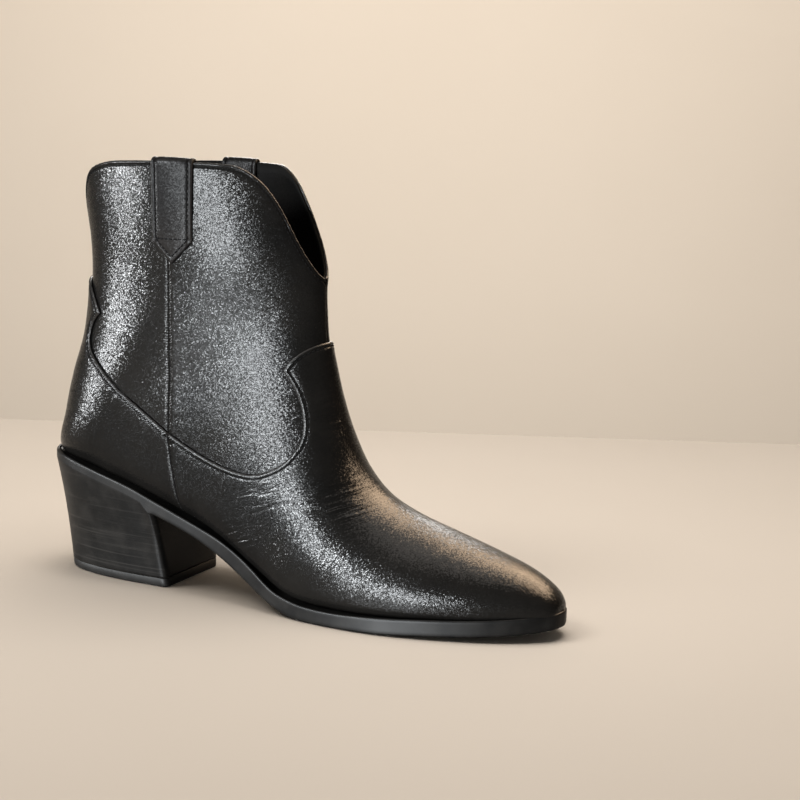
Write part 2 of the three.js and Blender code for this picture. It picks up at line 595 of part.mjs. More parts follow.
function heelCore() {
  const core = heelLoft(heelBottom, heelTop, HEEL_WALL + GAP).intersect(belowSole(HEEL_ROOF + GAP));
  return pinPlaces.reduce((left, place) => left.subtract(liftPin(place, GAP)), cutFasteners(core));
}

function topLift() {
  return pinPlaces.reduce((left, place) => left.subtract(liftPin(place, GAP)),
    loft([heelRing(0, TOP_LIFT_BEVEL), heelRing(TOP_LIFT_BEVEL, 0), heelRing(TOP_LIFT_THICK, 0)]));
}

// ---------------------------------------------------------------- bottom stock
const insoleSpace = tube(INSOLE_DEPTH).intersect(between(-FAR, gradeX(INSOLE_FRONT)));
const cutRivets = (solid) => rivetPlaces.reduce((left, x) => left.subtract(rivet(x, GAP)), solid);
const insoleBoard = () =>
  cutRivets(cutFasteners(insoleSpace.intersect(underSeat(INSOLE_DEPTH + INSOLE_THICK))));
const seatLayer = (depth, thick) =>
  insoleSpace.intersect(underSeat(depth + thick)).subtract(underSeat(depth));

function bottomFiller() {
  const filler = tube(0).intersect(bottomMiddle(GAP, INSOLE_DEPTH - GAP));
  const slot = seatStrip(SHANK_DEPTH - GAP, INSOLE_DEPTH + GAP, gradeX(SHANK_REAR) - GAP,
    gradeX(SHANK_FRONT) + GAP, SHANK_WIDTH / 2 + GAP);
  return cutRivets(cutFasteners(filler.subtract(slot)));
}

function steelShank() {
  const strip = seatStrip(SHANK_DEPTH, SHANK_DEPTH + SHANK_THICK, gradeX(SHANK_REAR),
    gradeX(SHANK_FRONT), SHANK_WIDTH / 2);
  return cutRivets(strip);
}

// ---------------------------------------------------------------- upper pieces
const shaftLayer = shell(SHOULDER, SHOULDER + LEATHER).intersect(belowTopline);
const coverLayer = shell(0, LEATHER).subtract(bottomHole);
const stiffLayer = shell(SHOULDER, SHOULDER + STIFFENER).subtract(bottomHole);
const liningLayer = shell(LINING_DEPTH, CAVITY_DEPTH).intersect(belowTopline)
  .subtract(bottomHole);

// A region taken out of a layer with the glue line round it, on its lower side and one other.
const clearOf = (layer, region, dx) =>
  layer.subtract(region.translate(0, 0, -GAP)).subtract(region.translate(dx, 0, -GAP));
const heelStiffener = () => clearOf(stiffLayer, aboveBackHem(-FAR, FAR), -GAP)
  .intersect(between(-FAR, gradeX(STIFFENER_FRONT)));
const vampBacker = () => clearOf(stiffLayer, aboveFrontHem(-FAR, FAR), GAP)
  .intersect(between(gradeX(BACKER_REAR), gradeX(TOE_PUFF_BACK) - GAP));
const toePuff = () => stiffLayer.intersect(between(gradeX(TOE_PUFF_BACK), FAR));
const quarterLining = (side) => liningLayer.intersect(behindLiningSeam(side))
  .subtract(heelGripRegion(GAP));

// Strap: an outer leg with a pointed end, a fold over the topline and a shorter inner leg.
function pullStrap([y0, y1]) {
  const x0 = gradeX(STRAP_X) - STRAP_WIDTH / 2;
  const x1 = x0 + STRAP_WIDTH;
  const height = (z) => gradeZ(STRAP_X, z);
  const fold = Math.max(...[x0, gradeX(STRAP_X), x1].map((x) => lineAt(topline, x))) + GAP;
  const top = fold + STRAP_THICK;
  const outerFace = SHOULDER - GAP - STRAP_THICK;
  const innerFace = CAVITY_DEPTH + GAP + STRAP_THICK;
  const outer = shell(outerFace, SHOULDER - GAP).intersect(sidePrism([
    [x0, height(STRAP_SHOULDER)], [(x0 + x1) / 2, height(STRAP_TIP)], [x1, height(STRAP_SHOULDER)],
    [x1, top], [x0, top],
  ], y0, y1));
  const leg = (z0) => sidePrism([[x0, z0], [x1, z0], [x1, top], [x0, top]], y0, y1);
  const inner = shell(CAVITY_DEPTH + GAP, innerFace).intersect(leg(height(STRAP_INNER_END)));
  const bridge = shell(outerFace, innerFace).intersect(leg(fold));
  return outer.add(inner).add(bridge);
}

// ---------------------------------------------------------------- materials
const FINISHES = {
  upper: [0x16151a, 0.42, 0],
  strap: [0x18171b, 0.4, 0],
  lining: [0x2b2a2c, 0.75, 0],
  stiffener: [0xb9a98a, 0.9, 0],
  board: [0x9c7f58, 0.9, 0],
  foam: [0xd8d2c4, 0.95, 0],
  sock: [0x1f1e20, 0.8, 0],
  filler: [0x8a6b48, 0.95, 0],
  rubber: [0x131314, 0.55, 0],
  core: [0x3a3a3c, 0.6, 0],
  steel: [0x9aa0a6, 0.35, 1],
};

const boot = new THREE.Group();
function add(name, finish, solid) {
  const [color, roughness, metalness] = FINISHES[finish];
  const material = new THREE.MeshStandardMaterial({ color, roughness, metalness });
  const mesh = new THREE.Mesh(toGeometry(solid), material);
  mesh.name = name;
  boot.add(mesh);
}

// ---------------------------------------------------------------- assembly
add('vamp', 'upper', coverLayer.intersect(vampRegion()));
add('counter_cover', 'upper', coverLayer.intersect(counterRegion()));
add('shaft_front_lateral', 'upper', shaftLayer.intersect(aboveFrontHem(...LATERAL)));
add('shaft_front_medial', 'upper', shaftLayer.intersect(aboveFrontHem(...MEDIAL)));
add('shaft_back_lateral', 'upper', shaftLayer.intersect(aboveBackHem(...LATERAL)));
add('shaft_back_medial', 'upper', shaftLayer.intersect(aboveBackHem(...MEDIAL)));
add('pull_strap_lateral', 'strap', pullStrap(LATERAL));
add('pull_strap_medial', 'strap', pullStrap(MEDIAL));
add('toe_puff', 'stiffener', toePuff());
add('vamp_backer', 'stiffener', vampBacker());
add('heel_stiffener', 'stiffener', heelStiffener());
add('vamp_lining', 'lining', liningLayer.intersect(frontOfLiningSeam));
add('quarter_lining_lateral', 'lining', quarterLining(LATERAL));
add('quarter_lining_medial', 'lining', quarterLining(MEDIAL));
add('heel_grip', 'lining', liningLayer.intersect(heelGripRegion(0)));
add('insole_board', 'board', insoleBoard());
add('sock_foam', 'foam', seatLayer(FOAM_DEPTH, FOAM_THICK));
add('sock_cover', 'sock', seatLayer(SOCK_DEPTH, SOCK_THICK));
add('bottom_filler', 'filler', bottomFiller());
add('steel_shank', 'steel', steelShank());
rivetPlaces.forEach((x, i) => add(`shank_rivet_${i + 1}`, 'steel', rivet(x)));
add('unit_sole', 'rubber', unitSole());
add('heel_core', 'core', heelCore());
add('top_lift', 'rubber', topLift());
nailPlaces.forEach((place, i) => add(`heel_nail_${i + 1}`, 'steel', nail(place)));
add('heel_screw', 'steel', heelScrew());
pinPlaces.forEach((place, i) => add(`top_lift_pin_${i + 1}`, 'steel', liftPin(place)));

// The origin lies on the floor under the middle of the boot.
const bounds = new THREE.Box3().setFromObject(boot);
const middle = bounds.getCenter(new THREE.Vector3());
boot.position.set(-middle.x, -middle.y, -bounds.min.z);

export default boot;
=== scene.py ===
"""A right cowboy boot in black leather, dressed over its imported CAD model.

Lengths below are millimetres of the boot's own last: x from the back of the sole to the toe, z up
from the floor, -y the lateral side. `place` turns them into the frame's metres.
"""
import math

import bmesh
import bpy
import numpy as np
from mathutils import Matrix, Vector
from mathutils.geometry import delaunay_2d_cdt
from mathutils.kdtree import KDTree


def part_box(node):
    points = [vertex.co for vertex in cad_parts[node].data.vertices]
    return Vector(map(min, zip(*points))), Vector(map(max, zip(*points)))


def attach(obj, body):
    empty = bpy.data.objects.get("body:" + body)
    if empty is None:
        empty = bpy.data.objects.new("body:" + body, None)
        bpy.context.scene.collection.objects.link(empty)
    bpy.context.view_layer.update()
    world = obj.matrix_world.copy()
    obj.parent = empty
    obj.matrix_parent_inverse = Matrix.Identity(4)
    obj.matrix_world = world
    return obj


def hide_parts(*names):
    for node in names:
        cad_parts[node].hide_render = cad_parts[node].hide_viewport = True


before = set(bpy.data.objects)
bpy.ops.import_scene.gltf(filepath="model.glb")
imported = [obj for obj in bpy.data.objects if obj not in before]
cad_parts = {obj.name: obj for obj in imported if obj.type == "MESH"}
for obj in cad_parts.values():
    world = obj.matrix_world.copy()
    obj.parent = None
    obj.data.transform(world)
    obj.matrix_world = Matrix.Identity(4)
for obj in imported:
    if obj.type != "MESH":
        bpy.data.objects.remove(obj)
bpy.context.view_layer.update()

# ---------------------------------------------------------------- sizes
SOLE_LENGTH = 274.0
LEATHER = 1.2
GAP = 0.3
SHAFT_DEPTH = 1.5  # depth of the shaft leather's face below the vamp's face
LINING_DEPTH = 3.0
CAVITY_DEPTH = 4.0
SOCK_DEPTH = 8.9
SOCK_THICK = 0.9
FOLD_RADIUS = 0.75  # rounding of a folded leather edge
FOLD_STITCH = 1.9  # from a folded edge to its stitching
TOPLINE_STITCH = 2.6
STITCH_LENGTH = 1.9
STITCH_PITCH = 2.5
STITCH_RADIUS = 0.32

STRAP_WIDTH = 21.0
STRAP_THICK = 1.5
STRAP_X = 82.4
STRAP_SHOULDER = 171.0
STRAP_TIP = 160.5
STRAP_INNER_END = 178.0

HEEL_BASE_BACK = 8.0
HEEL_BASE_BREAST = 76.0
HEEL_BASE_HALF = 24.2
HEEL_TOP_BREAST = 71.0
HEEL_HEIGHT = 55.5
HEEL_POWER = 2.7
TOP_LIFT_THICK = 4.2

# The base last, as in the CAD model: front x, z; back x, z; half widths lateral, medial; place of
# the widest point; roundness of the front and back halves. The first row closes the toe.
SECTIONS = np.array([
    (273.3, 12.3, 273.3, 12.1, 0.05, 0.05, 0.45, 2.0, 2.1),
    (273.0, 13.4, 272.8, 11.0, 1.5, 1.5, 0.45, 2.0, 2.2),
    (271.4, 17.8, 271.6, 9.8, 7.6, 7.6, 0.42, 2.0, 2.6),
    (266.0, 23.4, 267.5, 8.7, 13.0, 13.0, 0.38, 2.0, 3.0),
    (254.0, 29.8, 256.0, 7.4, 20.0, 20.0, 0.34, 1.95, 3.4),
    (236.0, 35.8, 238.0, 6.1, 28.0, 27.5, 0.3, 1.9, 3.8),
    (215.0, 42.1, 215.5, 4.9, 34.6, 33.6, 0.27, 1.85, 4.0),
    (196.0, 48.3, 193.0, 4.3, 38.0, 37.0, 0.25, 1.8, 4.0),
    (180.2, 56.6, 170.5, 4.2, 38.8, 37.6, 0.25, 1.8, 4.0),
    (169.4, 69.2, 147.5, 5.9, 37.0, 35.0, 0.26, 1.85, 4.0),
    (162.0, 85.0, 124.0, 17.0, 33.4, 31.2, 0.27, 1.9, 4.0),
    (156.8, 100.2, 98.0, 31.6, 30.8, 29.4, 0.27, 1.95, 4.0),
    (153.2, 113.9, 66.0, 43.5, 30.5, 29.8, 0.26, 2.0, 4.0),
    (150.6, 126.6, 32.0, 53.0, 31.0, 30.6, 0.26, 2.0, 3.6),
    (149.8, 138.4, 4.2, 60.0, 31.6, 31.2, 0.3, 2.0, 2.5),
    (149.2, 149.5, 5.0, 79.5, 31.8, 31.4, 0.34, 1.95, 2.3),
    (148.8, 160.5, 9.0, 100.0, 31.9, 31.5, 0.4, 1.9, 2.2),
    (147.0, 172.5, 14.8, 121.5, 32.3, 31.9, 0.45, 1.85, 2.1),
    (143.6, 184.5, 16.9, 145.0, 33.1, 32.7, 0.48, 1.8, 2.0),
    (139.6, 197.5, 15.4, 168.0, 34.0, 33.6, 0.5, 1.75, 1.95),
    (136.0, 211.0, 12.9, 190.0, 34.9, 34.5, 0.5, 1.7, 1.9),
    (133.4, 226.0, 10.4, 214.0, 35.7, 35.3, 0.5, 1.7, 1.9),
    (131.8, 238.0, 8.8, 234.0, 36.3, 35.9, 0.5, 1.7, 1.9),
])
LAST_SECTION = len(SECTIONS) - 1
TOE_SECTIONS = 6

PLAN_LATERAL = np.array([
    (0, 0), (1.6, 10), (7, 20), (17, 28.2), (32, 32.6), (55, 33), (80, 31.6), (102, 30.8),
    (122, 32.4), (142, 36.6), (160, 40), (178, 41.4), (196, 40.8), (212, 37.8), (228, 33.2),
    (243, 27.6), (256, 21), (266, 13.8), (272, 7.4), (274, 0)])
PLAN_MEDIAL = np.array([
    (0, 0), (1.6, 10), (7, 20), (17, 28), (32, 32), (55, 32), (80, 30), (102, 28.6),
    (122, 29.8), (142, 34), (160, 38.4), (178, 40.6), (196, 39.8), (212, 36.8), (228, 32.4),
    (243, 27), (256, 20.6), (266, 13.6), (272, 7.4), (274, 0)])
UNDERSIDE = np.array([
    (0, 55.5), (20, 51.2), (45, 44.8), (70, 38.6), (90, 31.4), (104, 24.8), (116, 18),
    (127, 11.2), (138, 5.2), (150, 1), (161, 0), (170, 0), (182, 0), (200, 0.3), (220, 1.2),
    (240, 2.2), (257, 3.5), (274, 5.4)])
RIM = np.array([
    (0, 62.3), (20, 60.6), (42, 55.2), (60, 49.8), (73, 44.6), (99, 34.2), (110, 29.6),
    (120, 24.4), (129, 18.8), (137, 13.6), (144, 10.2), (155, 7.8), (165, 7), (177, 6.9),
    (191, 7.5), (205, 8.3), (218, 9), (238, 9.9), (257, 11.2), (274, 12.8)])

JUNCTION = (79.5, 78.5)
TOPLINE = [
    (15.5, 163), (16.4, 176), (18, 190), (25, 201.5), (40, 206.5), (60, 208), (82, 208.4),
    (104, 208.2), (114, 206.8), (124, 200), (132, 189), (138.5, 176.5), (143.3, 167), (146.5, 161),
    (149.8, 154.5)]
VAMP_LOBE = [
    JUNCTION, (98, 69.5), (114, 64.4), (127.5, 63.6), (139.5, 69), (146.3, 77), (148, 84),
    (147, 91.5), (144, 100), (140, 107), (135.8, 112.4)]
VAMP_CREST = [(135.8, 112.4), (138.6, 117.6), (143.8, 122.3), (150, 125.6), (158, 128)]
COUNTER_SWEEP = [
    JUNCTION, (64, 89), (52, 97.6), (42, 105.4), (34, 112), (29.5, 117), (28.2, 122.5),
    (31, 128.5), (36.2, 133.4)]
COUNTER_CREST = [(36.2, 133.4), (31, 139.6), (25, 145.5), (16, 150), (4, 152)]
QUARTER_SEAM = [JUNCTION, (82.4, 61), (85.5, 42), (89, 20)]
HEM_FRONT = [
    (79.5, 68), (98, 60), (114, 55), (129, 54), (143, 59), (152, 70), (155.5, 84), (154.5, 98),
    (152, 106), (166, 112)]
HEM_BACK = [(79.5, 68), (62, 78), (48, 87), (36, 96), (25, 103), (10, 107), (-20, 107)]

# ---------------------------------------------------------------- frame
sole_low, sole_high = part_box("unit_sole")
SCALE = (sole_high.x - sole_low.x) / SOLE_LENGTH
PLAN_SKEW = 0.4  # the sole's middle lies this far to the medial side of the last's centre plane
ORIGIN = np.array([sole_low.x, (sole_low.y + sole_high.y) / 2 + PLAN_SKEW * SCALE, 0.0])


def place(points):
    """Millimetres of the last to metres of the frame."""
    return np.asarray(points, float) * SCALE + ORIGIN


# ---------------------------------------------------------------- curves
def catmull(rows, u):
    """Catmull-Rom through rows at places u, counted in rows."""
    rows = np.asarray(rows, float)
    last = len(rows) - 1
    u = np.clip(np.asarray(u, float), 0, last)
    i = np.minimum(u.astype(int), last - 1)
    t = (u - i)[..., None]
    first, end = 2 * rows[0] - rows[1], 2 * rows[-1] - rows[-2]
    padded = np.vstack([first, rows, end])
    a, b, c, d = padded[i], padded[i + 1], padded[i + 2], padded[i + 3]
    return 0.5 * (2 * b + (c - a) * t + (2 * a - 5 * b + 4 * c - d) * t ** 2
                  + (3 * b - a - 3 * c + d) * t ** 3)


def smooth_line(rows, steps=10):
    """The curve through rows, in equal steps between neighbours."""
    return catmull(rows, np.linspace(0, len(rows) - 1, (len(rows) - 1) * steps + 1))


def joined(*lines):
    """Lines that follow each other, with corners kept where they meet."""
    return np.vstack([lines[0]] + [line[1:] for line in lines[1:]])


def unit(vectors):
    return vectors / (np.linalg.norm(vectors, axis=-1, keepdims=True) + 1e-12)


def lengths_along(points):
    """The length of a line from its start to each of its points."""
    return np.r_[0, np.cumsum(np.linalg.norm(np.diff(points, axis=0), axis=1))]


def evenly(values, lengths, count):
    """The values along a line, read off at evenly spaced lengths."""
    at = np.linspace(0, lengths[-1], count)
    return np.stack([np.interp(at, lengths, column) for column in values.T], 1)


def stops(length, pitch):
    """How many points stand about a pitch apart on a length."""
    return max(2, int(round(length / pitch)) + 1)


def resample(points, pitch):
    """Points spaced evenly along a line, about a pitch apart."""
    lengths = lengths_along(points)
    return evenly(points, lengths, stops(lengths[-1], pitch))


plan_lateral = smooth_line(PLAN_LATERAL, 12)
plan_medial = smooth_line(PLAN_MEDIAL, 12)
side_under = smooth_line(UNDERSIDE, 12)
side_rim = smooth_line(RIM, 12)


def under_z(x):
    return np.interp(x, side_under[:, 0], side_under[:, 1])


def rim_z(x):
    return np.interp(x, side_rim[:, 0], side_rim[:, 1])


# ---------------------------------------------------------------- the upper's surface
def line_normal(u, column):
    """Outward direction, in side view, of the front (0) or back (2) line."""
    before, after = catmull(SECTIONS, u - 0.5), catmull(SECTIONS, u + 0.5)
    run = after[..., column:column + 2] - before[..., column:column + 2]
    n = unit(np.stack([run[..., 1], -run[..., 0]], -1))
    return n if column == 0 else -n


def side_share(u):
    """How much of a depth into the upper is taken sideways; less where it narrows to the toe."""
    before, after = catmull(SECTIONS, u - 0.5), catmull(SECTIONS, u + 0.5)
    run, widening = np.abs(before[..., 0] - after[..., 0]), before[..., 4] - after[..., 4]
    return np.where(u > TOE_SECTIONS, 1.0, run / (np.hypot(run, widening) + 1e-9))


# Waves of the leather where nothing stretches it, from the ankle (SLACK_FROM) up.
SLACK_FROM, SLACK_RUN, SLACKNESS = 60, 60, 0.8
MEDIAL_SHIFT = -0.6  # phase of the medial side's waves, where the lateral side's is 1


def relief(points):
    """Soft unevenness of the leather, in millimetres outwards."""
    x, y, z = points[..., 0], points[..., 1], points[..., 2]
    side = np.where(y < 0, 1.0, MEDIAL_SHIFT)
    slack = np.clip((z - SLACK_FROM) / SLACK_RUN, 0, 1)
    waves = (0.35 * np.sin(x / 17 + 1.3 + side) * np.sin(z / 23 + 0.4)
             + 0.25 * np.sin(x / 9.5 - z / 14 + 2 * side) + 0.2 * np.sin(z / 7.5 + x / 31 + side))
    return waves * slack * SLACKNESS


def skin(u, angle, depth=0.0):
    """Point of the upper at section u and angle (0 at the front line, a quarter turn lateral)."""
    u, angle = np.asarray(u, float), np.asarray(angle, float)
    row = catmull(SECTIONS, u)
    front = row[..., 0:2] - line_normal(u, 0) * np.asarray(depth)[..., None]
    back = row[..., 2:4] - line_normal(u, 2) * np.asarray(depth)[..., None]
    narrow = depth * side_share(u)
    cos, sin = np.cos(angle), np.sin(angle)
    power = np.where(cos >= 0, row[..., 7], row[..., 8])
    radius = (np.abs(cos) ** power + np.abs(sin) ** power) ** (-1 / power)
    widest = row[..., 6]
    along = widest + np.where(cos >= 0, 1 - widest, widest) * radius * cos
    half = np.where(sin >= 0, row[..., 4], row[..., 5]) - narrow
    middle = back + (front - back) * along[..., None]
    return np.stack([middle[..., 0], -half * radius * sin, middle[..., 1]], -1)


STEP = 1e-3


def surface(uv, depth=0.0):
    """Points of the upper at rows of (section, angle)."""
    return skin(uv[:, 0], uv[:, 1], depth)


def tangents(uv):
    """How the surface runs from section to section, and round them."""
    return [(surface(uv + step) - surface(uv - step)) / (2 * STEP)
            for step in (np.array([STEP, 0]), np.array([0, STEP]))]


def normals(uv):
    """Outward directions of the surface."""
    return unit(np.cross(*tangents(uv)))


def leather_point(uv, depth):
    """Surface point at a depth, with the leather's unevenness."""
    return surface(uv, depth) + normals(uv) * relief(surface(uv))[:, None]


class SideView:
    """Finds the place (section, angle) on the lateral side that shows at a side view point."""

    def __init__(self):
        u, angle = np.meshgrid(np.linspace(0.2, LAST_SECTION, 430), np.linspace(0, np.pi, 181),
                               indexing="ij")
        self.uv = np.stack([u.ravel(), angle.ravel()], 1)
        points = surface(self.uv)
        self.tree = KDTree(len(points))
        for i, (x, _, z) in enumerate(points):
            self.tree.insert((x, z, 0.0), i)
        self.tree.balance()

    def __call__(self, target):
        target = np.asarray(target, float)
        uv = np.array([self.uv[self.tree.find((x, z, 0.0))[1]] for x, z in target])
        for _ in range(8):
            along, around = tangents(uv)
            jacobian = np.stack([along[:, [0, 2]], around[:, [0, 2]]], -1)
            error = target - surface(uv)[:, [0, 2]]
            uv = uv + np.clip(least_step(jacobian, error, 0.5), -0.5, 0.5)
            uv[:, 0] = np.clip(uv[:, 0], 0.05, LAST_SECTION)
            uv[:, 1] = np.clip(uv[:, 1], 0, np.pi)
        return uv


def least_step(jacobian, error, damping):
    """Damped least-squares step in (section, angle) for a wanted move."""
    square = np.einsum("nij,nik->njk", jacobian, jacobian) + np.eye(2) * damping
    return np.linalg.solve(square, np.einsum("nij,ni->nj", jacobian, error)[..., None])[..., 0]


locate = SideView()


def on_skin(rows, steps=10):
    """A smooth side view line laid on the lateral side, cut where it leaves the silhouette."""
    line = smooth_line(rows, steps)
    uv = locate(line)
    miss = np.linalg.norm(surface(uv)[:, [0, 2]] - line, axis=1)
    inside = miss < 0.15
    first, last = np.argmax(inside), len(inside) - np.argmax(inside[::-1])
    return uv[max(first - 1, 0):last + 1]


def offset_line(uv, distance):
    """A line on the surface moved to its left, seen from outside, by a distance."""
    heading = unit(np.gradient(surface(uv), axis=0))
    sideways = np.cross(normals(uv), heading) * distance
    return uv + least_step(np.stack(tangents(uv), -1), sideways, 1e-6)


def mirrored(uv, turn=0.0):
    """The line on the medial side, run the other way; turn is a full turn across the back."""
    return np.stack([uv[:, 0], turn - uv[:, 1]], 1)[::-1]


def spread(uv, pitch):
    """The line's points spaced evenly over the surface."""
    lengths = lengths_along(surface(uv))
    return uv if lengths[-1] < pitch else evenly(uv, lengths, stops(lengths[-1], pitch))


# ---------------------------------------------------------------- meshes
boot_pieces = bpy.data.collections.new("boot_pieces")  # what the boot's own lights shine on


def make_piece(name, node, material, points, faces, attributes=None):
    """A mesh from points in millimetres of the last; it stands for one or more CAD nodes."""
    mesh = bpy.data.meshes.new(name)
    mesh.from_pydata(place(points).tolist(), [], [list(f) for f in faces])
    for key, values in (attributes or {}).items():
        layer = mesh.attributes.new(key, "FLOAT", "POINT")
        layer.data.foreach_set("value", np.asarray(values, np.float32))
    tidy_mesh(mesh)
    mesh.polygons.foreach_set("use_smooth", [True] * len(mesh.polygons))
    mesh.materials.append(material)
    piece = bpy.data.objects.new(name, mesh)
    bpy.context.scene.collection.objects.link(piece)
    boot_pieces.objects.link(piece)
    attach(piece, "root")
    if node:
        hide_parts(*([node] if isinstance(node, str) else node))
    return piece


def tidy_mesh(mesh):
    """Joins points that meet and turns every face outwards."""
    bm = bmesh.new()
    bm.from_mesh(mesh)
    bmesh.ops.remove_doubles(bm, verts=bm.verts, dist=2e-6)
    bmesh.ops.dissolve_degenerate(bm, edges=bm.edges, dist=1e-6)
    bmesh.ops.recalc_face_normals(bm, faces=bm.faces)
    bm.to_mesh(mesh)
    bm.free()


def grid_faces(rows, columns, closed=False, start=0):
    """Quads over a grid of points; closed joins the last column to the first."""
    faces = []
    for i in range(rows - 1):
        for j in range(columns if closed else columns - 1):
            a, b = start + i * columns + j, start + i * columns + (j + 1) % columns
            faces.append((a, b, b + columns, a + columns))
    return faces


def closed_grid(outer, inner):
    """Points and faces of a sheet between two grids of the same size."""
    rows, columns = outer.shape[:2]
    points = np.vstack([outer.reshape(-1, 3), inner.reshape(-1, 3)])
    shift = rows * columns
    faces = grid_faces(rows, columns)
    faces += [tuple(shift + i for i in f[::-1]) for f in faces]
    at = np.arange(shift).reshape(rows, columns)
    rim = np.r_[at[0], at[1:, -1], at[-1, -2::-1], at[-2:0:-1, 0]].tolist()
    faces += [(b, a, a + shift, b + shift) for a, b in zip(rim, rim[1:] + rim[:1])]
    return points, faces


def triangulate(points, loops):
    """Constrained triangles over plane points; loops are lists of point numbers."""
    edges = [(a, b) for loop in loops for a, b in zip(loop, loop[1:] + loop[:1])]
    coords = [Vector((float(x), float(y))) for x, y in points]
    verts, _, faces, *_ = delaunay_2d_cdt(coords, edges, [], 1, 1e-6)
    return np.array([tuple(v) for v in verts]), [tuple(f) for f in faces]


def inside_polygon(points, polygon):
    """Which plane points lie inside a polygon."""
    x, y = points[:, 0], points[:, 1]
    inside = np.zeros(len(points), bool)
    for (x0, y0), (x1, y1) in zip(polygon, np.roll(polygon, -1, axis=0)):
        crosses = (y0 > y) != (y1 > y)
        at = x0 + (y - y0) * (x1 - x0) / (y1 - y0 if y1 != y0 else 1e-12)
        inside ^= crosses & (x < at)
    return inside


def tree_of(points):
    tree = KDTree(len(points))
    for i, p in enumerate(points):
        tree.insert(p, i)
    tree.balance()
    return tree


def surface_tree(uv):
    return tree_of(surface(uv))


def distances(points, tree):
    """How far each point is from the nearest point of a tree."""
    return np.array([tree.find(p)[2] for p in points])


# ---------------------------------------------------------------- leather panels
UV_SCALE = np.array([16.0, 30.0])  # millimetres per section and per radian, about
EDGE_PITCH = 1.3
RAILS = (0.22, 0.5, 0.9, 1.4, 1.9, 2.4, 3.2)
FAR_FROM_EDGE = 9.0
PANEL_PITCH = 2.2
RAIL_CLEAR, BORDER_CLEAR, FILLING_CLEAR = 0.8, 0.15, 0.6
DEEPEST = 0.8  # share of the leather's thickness that an edge may sink


def ridge(s, height, place=0.0, width=1.0):
    """A rounded ridge, or a furrow where its height is negative, at a place on a distance."""
    return height * np.exp(-((s - place) / width) ** 2)


def rounding(s, height, radius):
    """How far a rounded edge falls away, at a distance from it."""
    fall = height * (1 - np.sqrt(np.clip(1 - (1 - s / radius) ** 2, 0, 1)))
    return np.where(s < radius, fall, 0)


def folded_profile(s):
    """How far a turned-in, stitched edge lies below its leather's face, at a distance from it."""
    bead, swell = ridge(s, -0.22, 0.95, 0.5), ridge(s, -0.16, 3.4, 1.1)
    groove = ridge(s, 0.4, FOLD_STITCH, 0.38)
    return rounding(s, FOLD_RADIUS, FOLD_RADIUS) + bead + groove + swell


def seam_profile(s):
    """An edge that meets its neighbour in a closed, stitched-down seam."""
    return ridge(s, 0.5, 0, 0.3) + ridge(s, -0.09, 2.4, 1.2)


def runs_clockwise(flat):
    """Which way a plane loop runs, by the sign of its area."""
    x, y = flat.T
    return np.sum(x * np.roll(y, -1) - np.roll(x, -1) * y) < 0


def rails_beside(lines, trees, border, flat):
    """Rows of points beside the finished edges, where the leather's relief changes fastest."""
    rails, border_tree = [np.zeros((0, 2))], surface_tree(border)
    for line, profile in lines:
        for s in (RAILS if profile else ()):
            rail = offset_line(line, s)
            points = surface(rail)
            near = np.min([distances(points, tree) for tree in trees.values()], axis=0)
            keep = (near > RAIL_CLEAR * s) & (distances(points, border_tree) > BORDER_CLEAR)
            rails.append(rail[keep & inside_polygon(rail * UV_SCALE, flat)])
    return np.vstack(rails)


def filling_between(lines, flat):
    """An even scatter of points inside the loop, clear of the lines."""
    filling = hex_grid(flat / UV_SCALE, PANEL_PITCH)
    filling = filling[inside_polygon(filling * UV_SCALE, flat)]
    return filling[distances(surface(filling), surface_tree(lines)) > FILLING_CLEAR * PANEL_PITCH]


def panel(name, node, loop, depth):
    """A leather piece at a depth; loop is its edges in order, each (line, profile)."""
    lines = [(spread(line, EDGE_PITCH if profile else PANEL_PITCH), profile)
             for line, profile in loop]
    border = np.vstack([line[:-1] for line, _ in lines])
    flat = border * UV_SCALE
    if runs_clockwise(flat):
        return panel(name, node, [(line[::-1], profile) for line, profile in loop[::-1]], depth)
    trees = {p: tree_of(np.vstack([dense_points(line) for line, q in lines if q is p]))
             for p in {profile for _, profile in lines if profile}}
    fixed = np.vstack([border, rails_beside(lines, trees, border, flat)])
    scaled, faces = triangulate(np.vstack([fixed, filling_between(fixed, flat)]) * UV_SCALE,
                                [list(range(len(border)))])
    uv = scaled / UV_SCALE
    base = surface(uv)
    edge = np.full(len(uv), FAR_FROM_EDGE)
    sunk, dull = np.zeros(len(uv)), np.zeros(len(uv))
    for profile, tree in trees.items():
        s = distances(base, tree)
        sunk += profile(s)
        edge = np.minimum(edge, s)
        dull += stitch_shade(s - (FOLD_STITCH if profile is folded_profile else 0))
    outer = leather_point(uv, depth + np.minimum(sunk, LEATHER * DEEPEST))
    inner = leather_point(uv, depth + LEATHER)
    return make_piece(name, node, upper, np.vstack([outer, inner]),
                      faces + walled(faces, len(uv)),
                      {"edge": np.r_[edge, np.full(len(uv), FAR_FROM_EDGE)],
                       "stitched": np.tile(np.clip(dull, 0, 1), 2),
                       "crease": np.tile(creasing(base), 2)})


def stitch_shade(s):
    """How dull the leather is in the furrow of a row of stitches, at a distance from the row."""
    return ridge(s, 0.95, 0, 0.55)


# Where walking has creased the leather: x, z, reach along x, reach along z, strength.
WORN_PLACES = ((131, 56, 13, 9, 0.8), (166, 52, 17, 11, 1.0), (118, 30, 9, 11, 0.8),
               (151, 92, 9, 16, 0.5), (30, 120, 14, 12, 0.35))


def creasing(points):
    """How creased the leather is at its points, from 0 to 1."""
    worn = np.zeros(len(points))
    for x, z, along, up, strength in WORN_PLACES:
        reach = ((points[:, 0] - x) / along) ** 2 + ((points[:, 2] - z) / up) ** 2
        worn += strength * np.exp(-reach)
    return np.clip(worn, 0, 1)


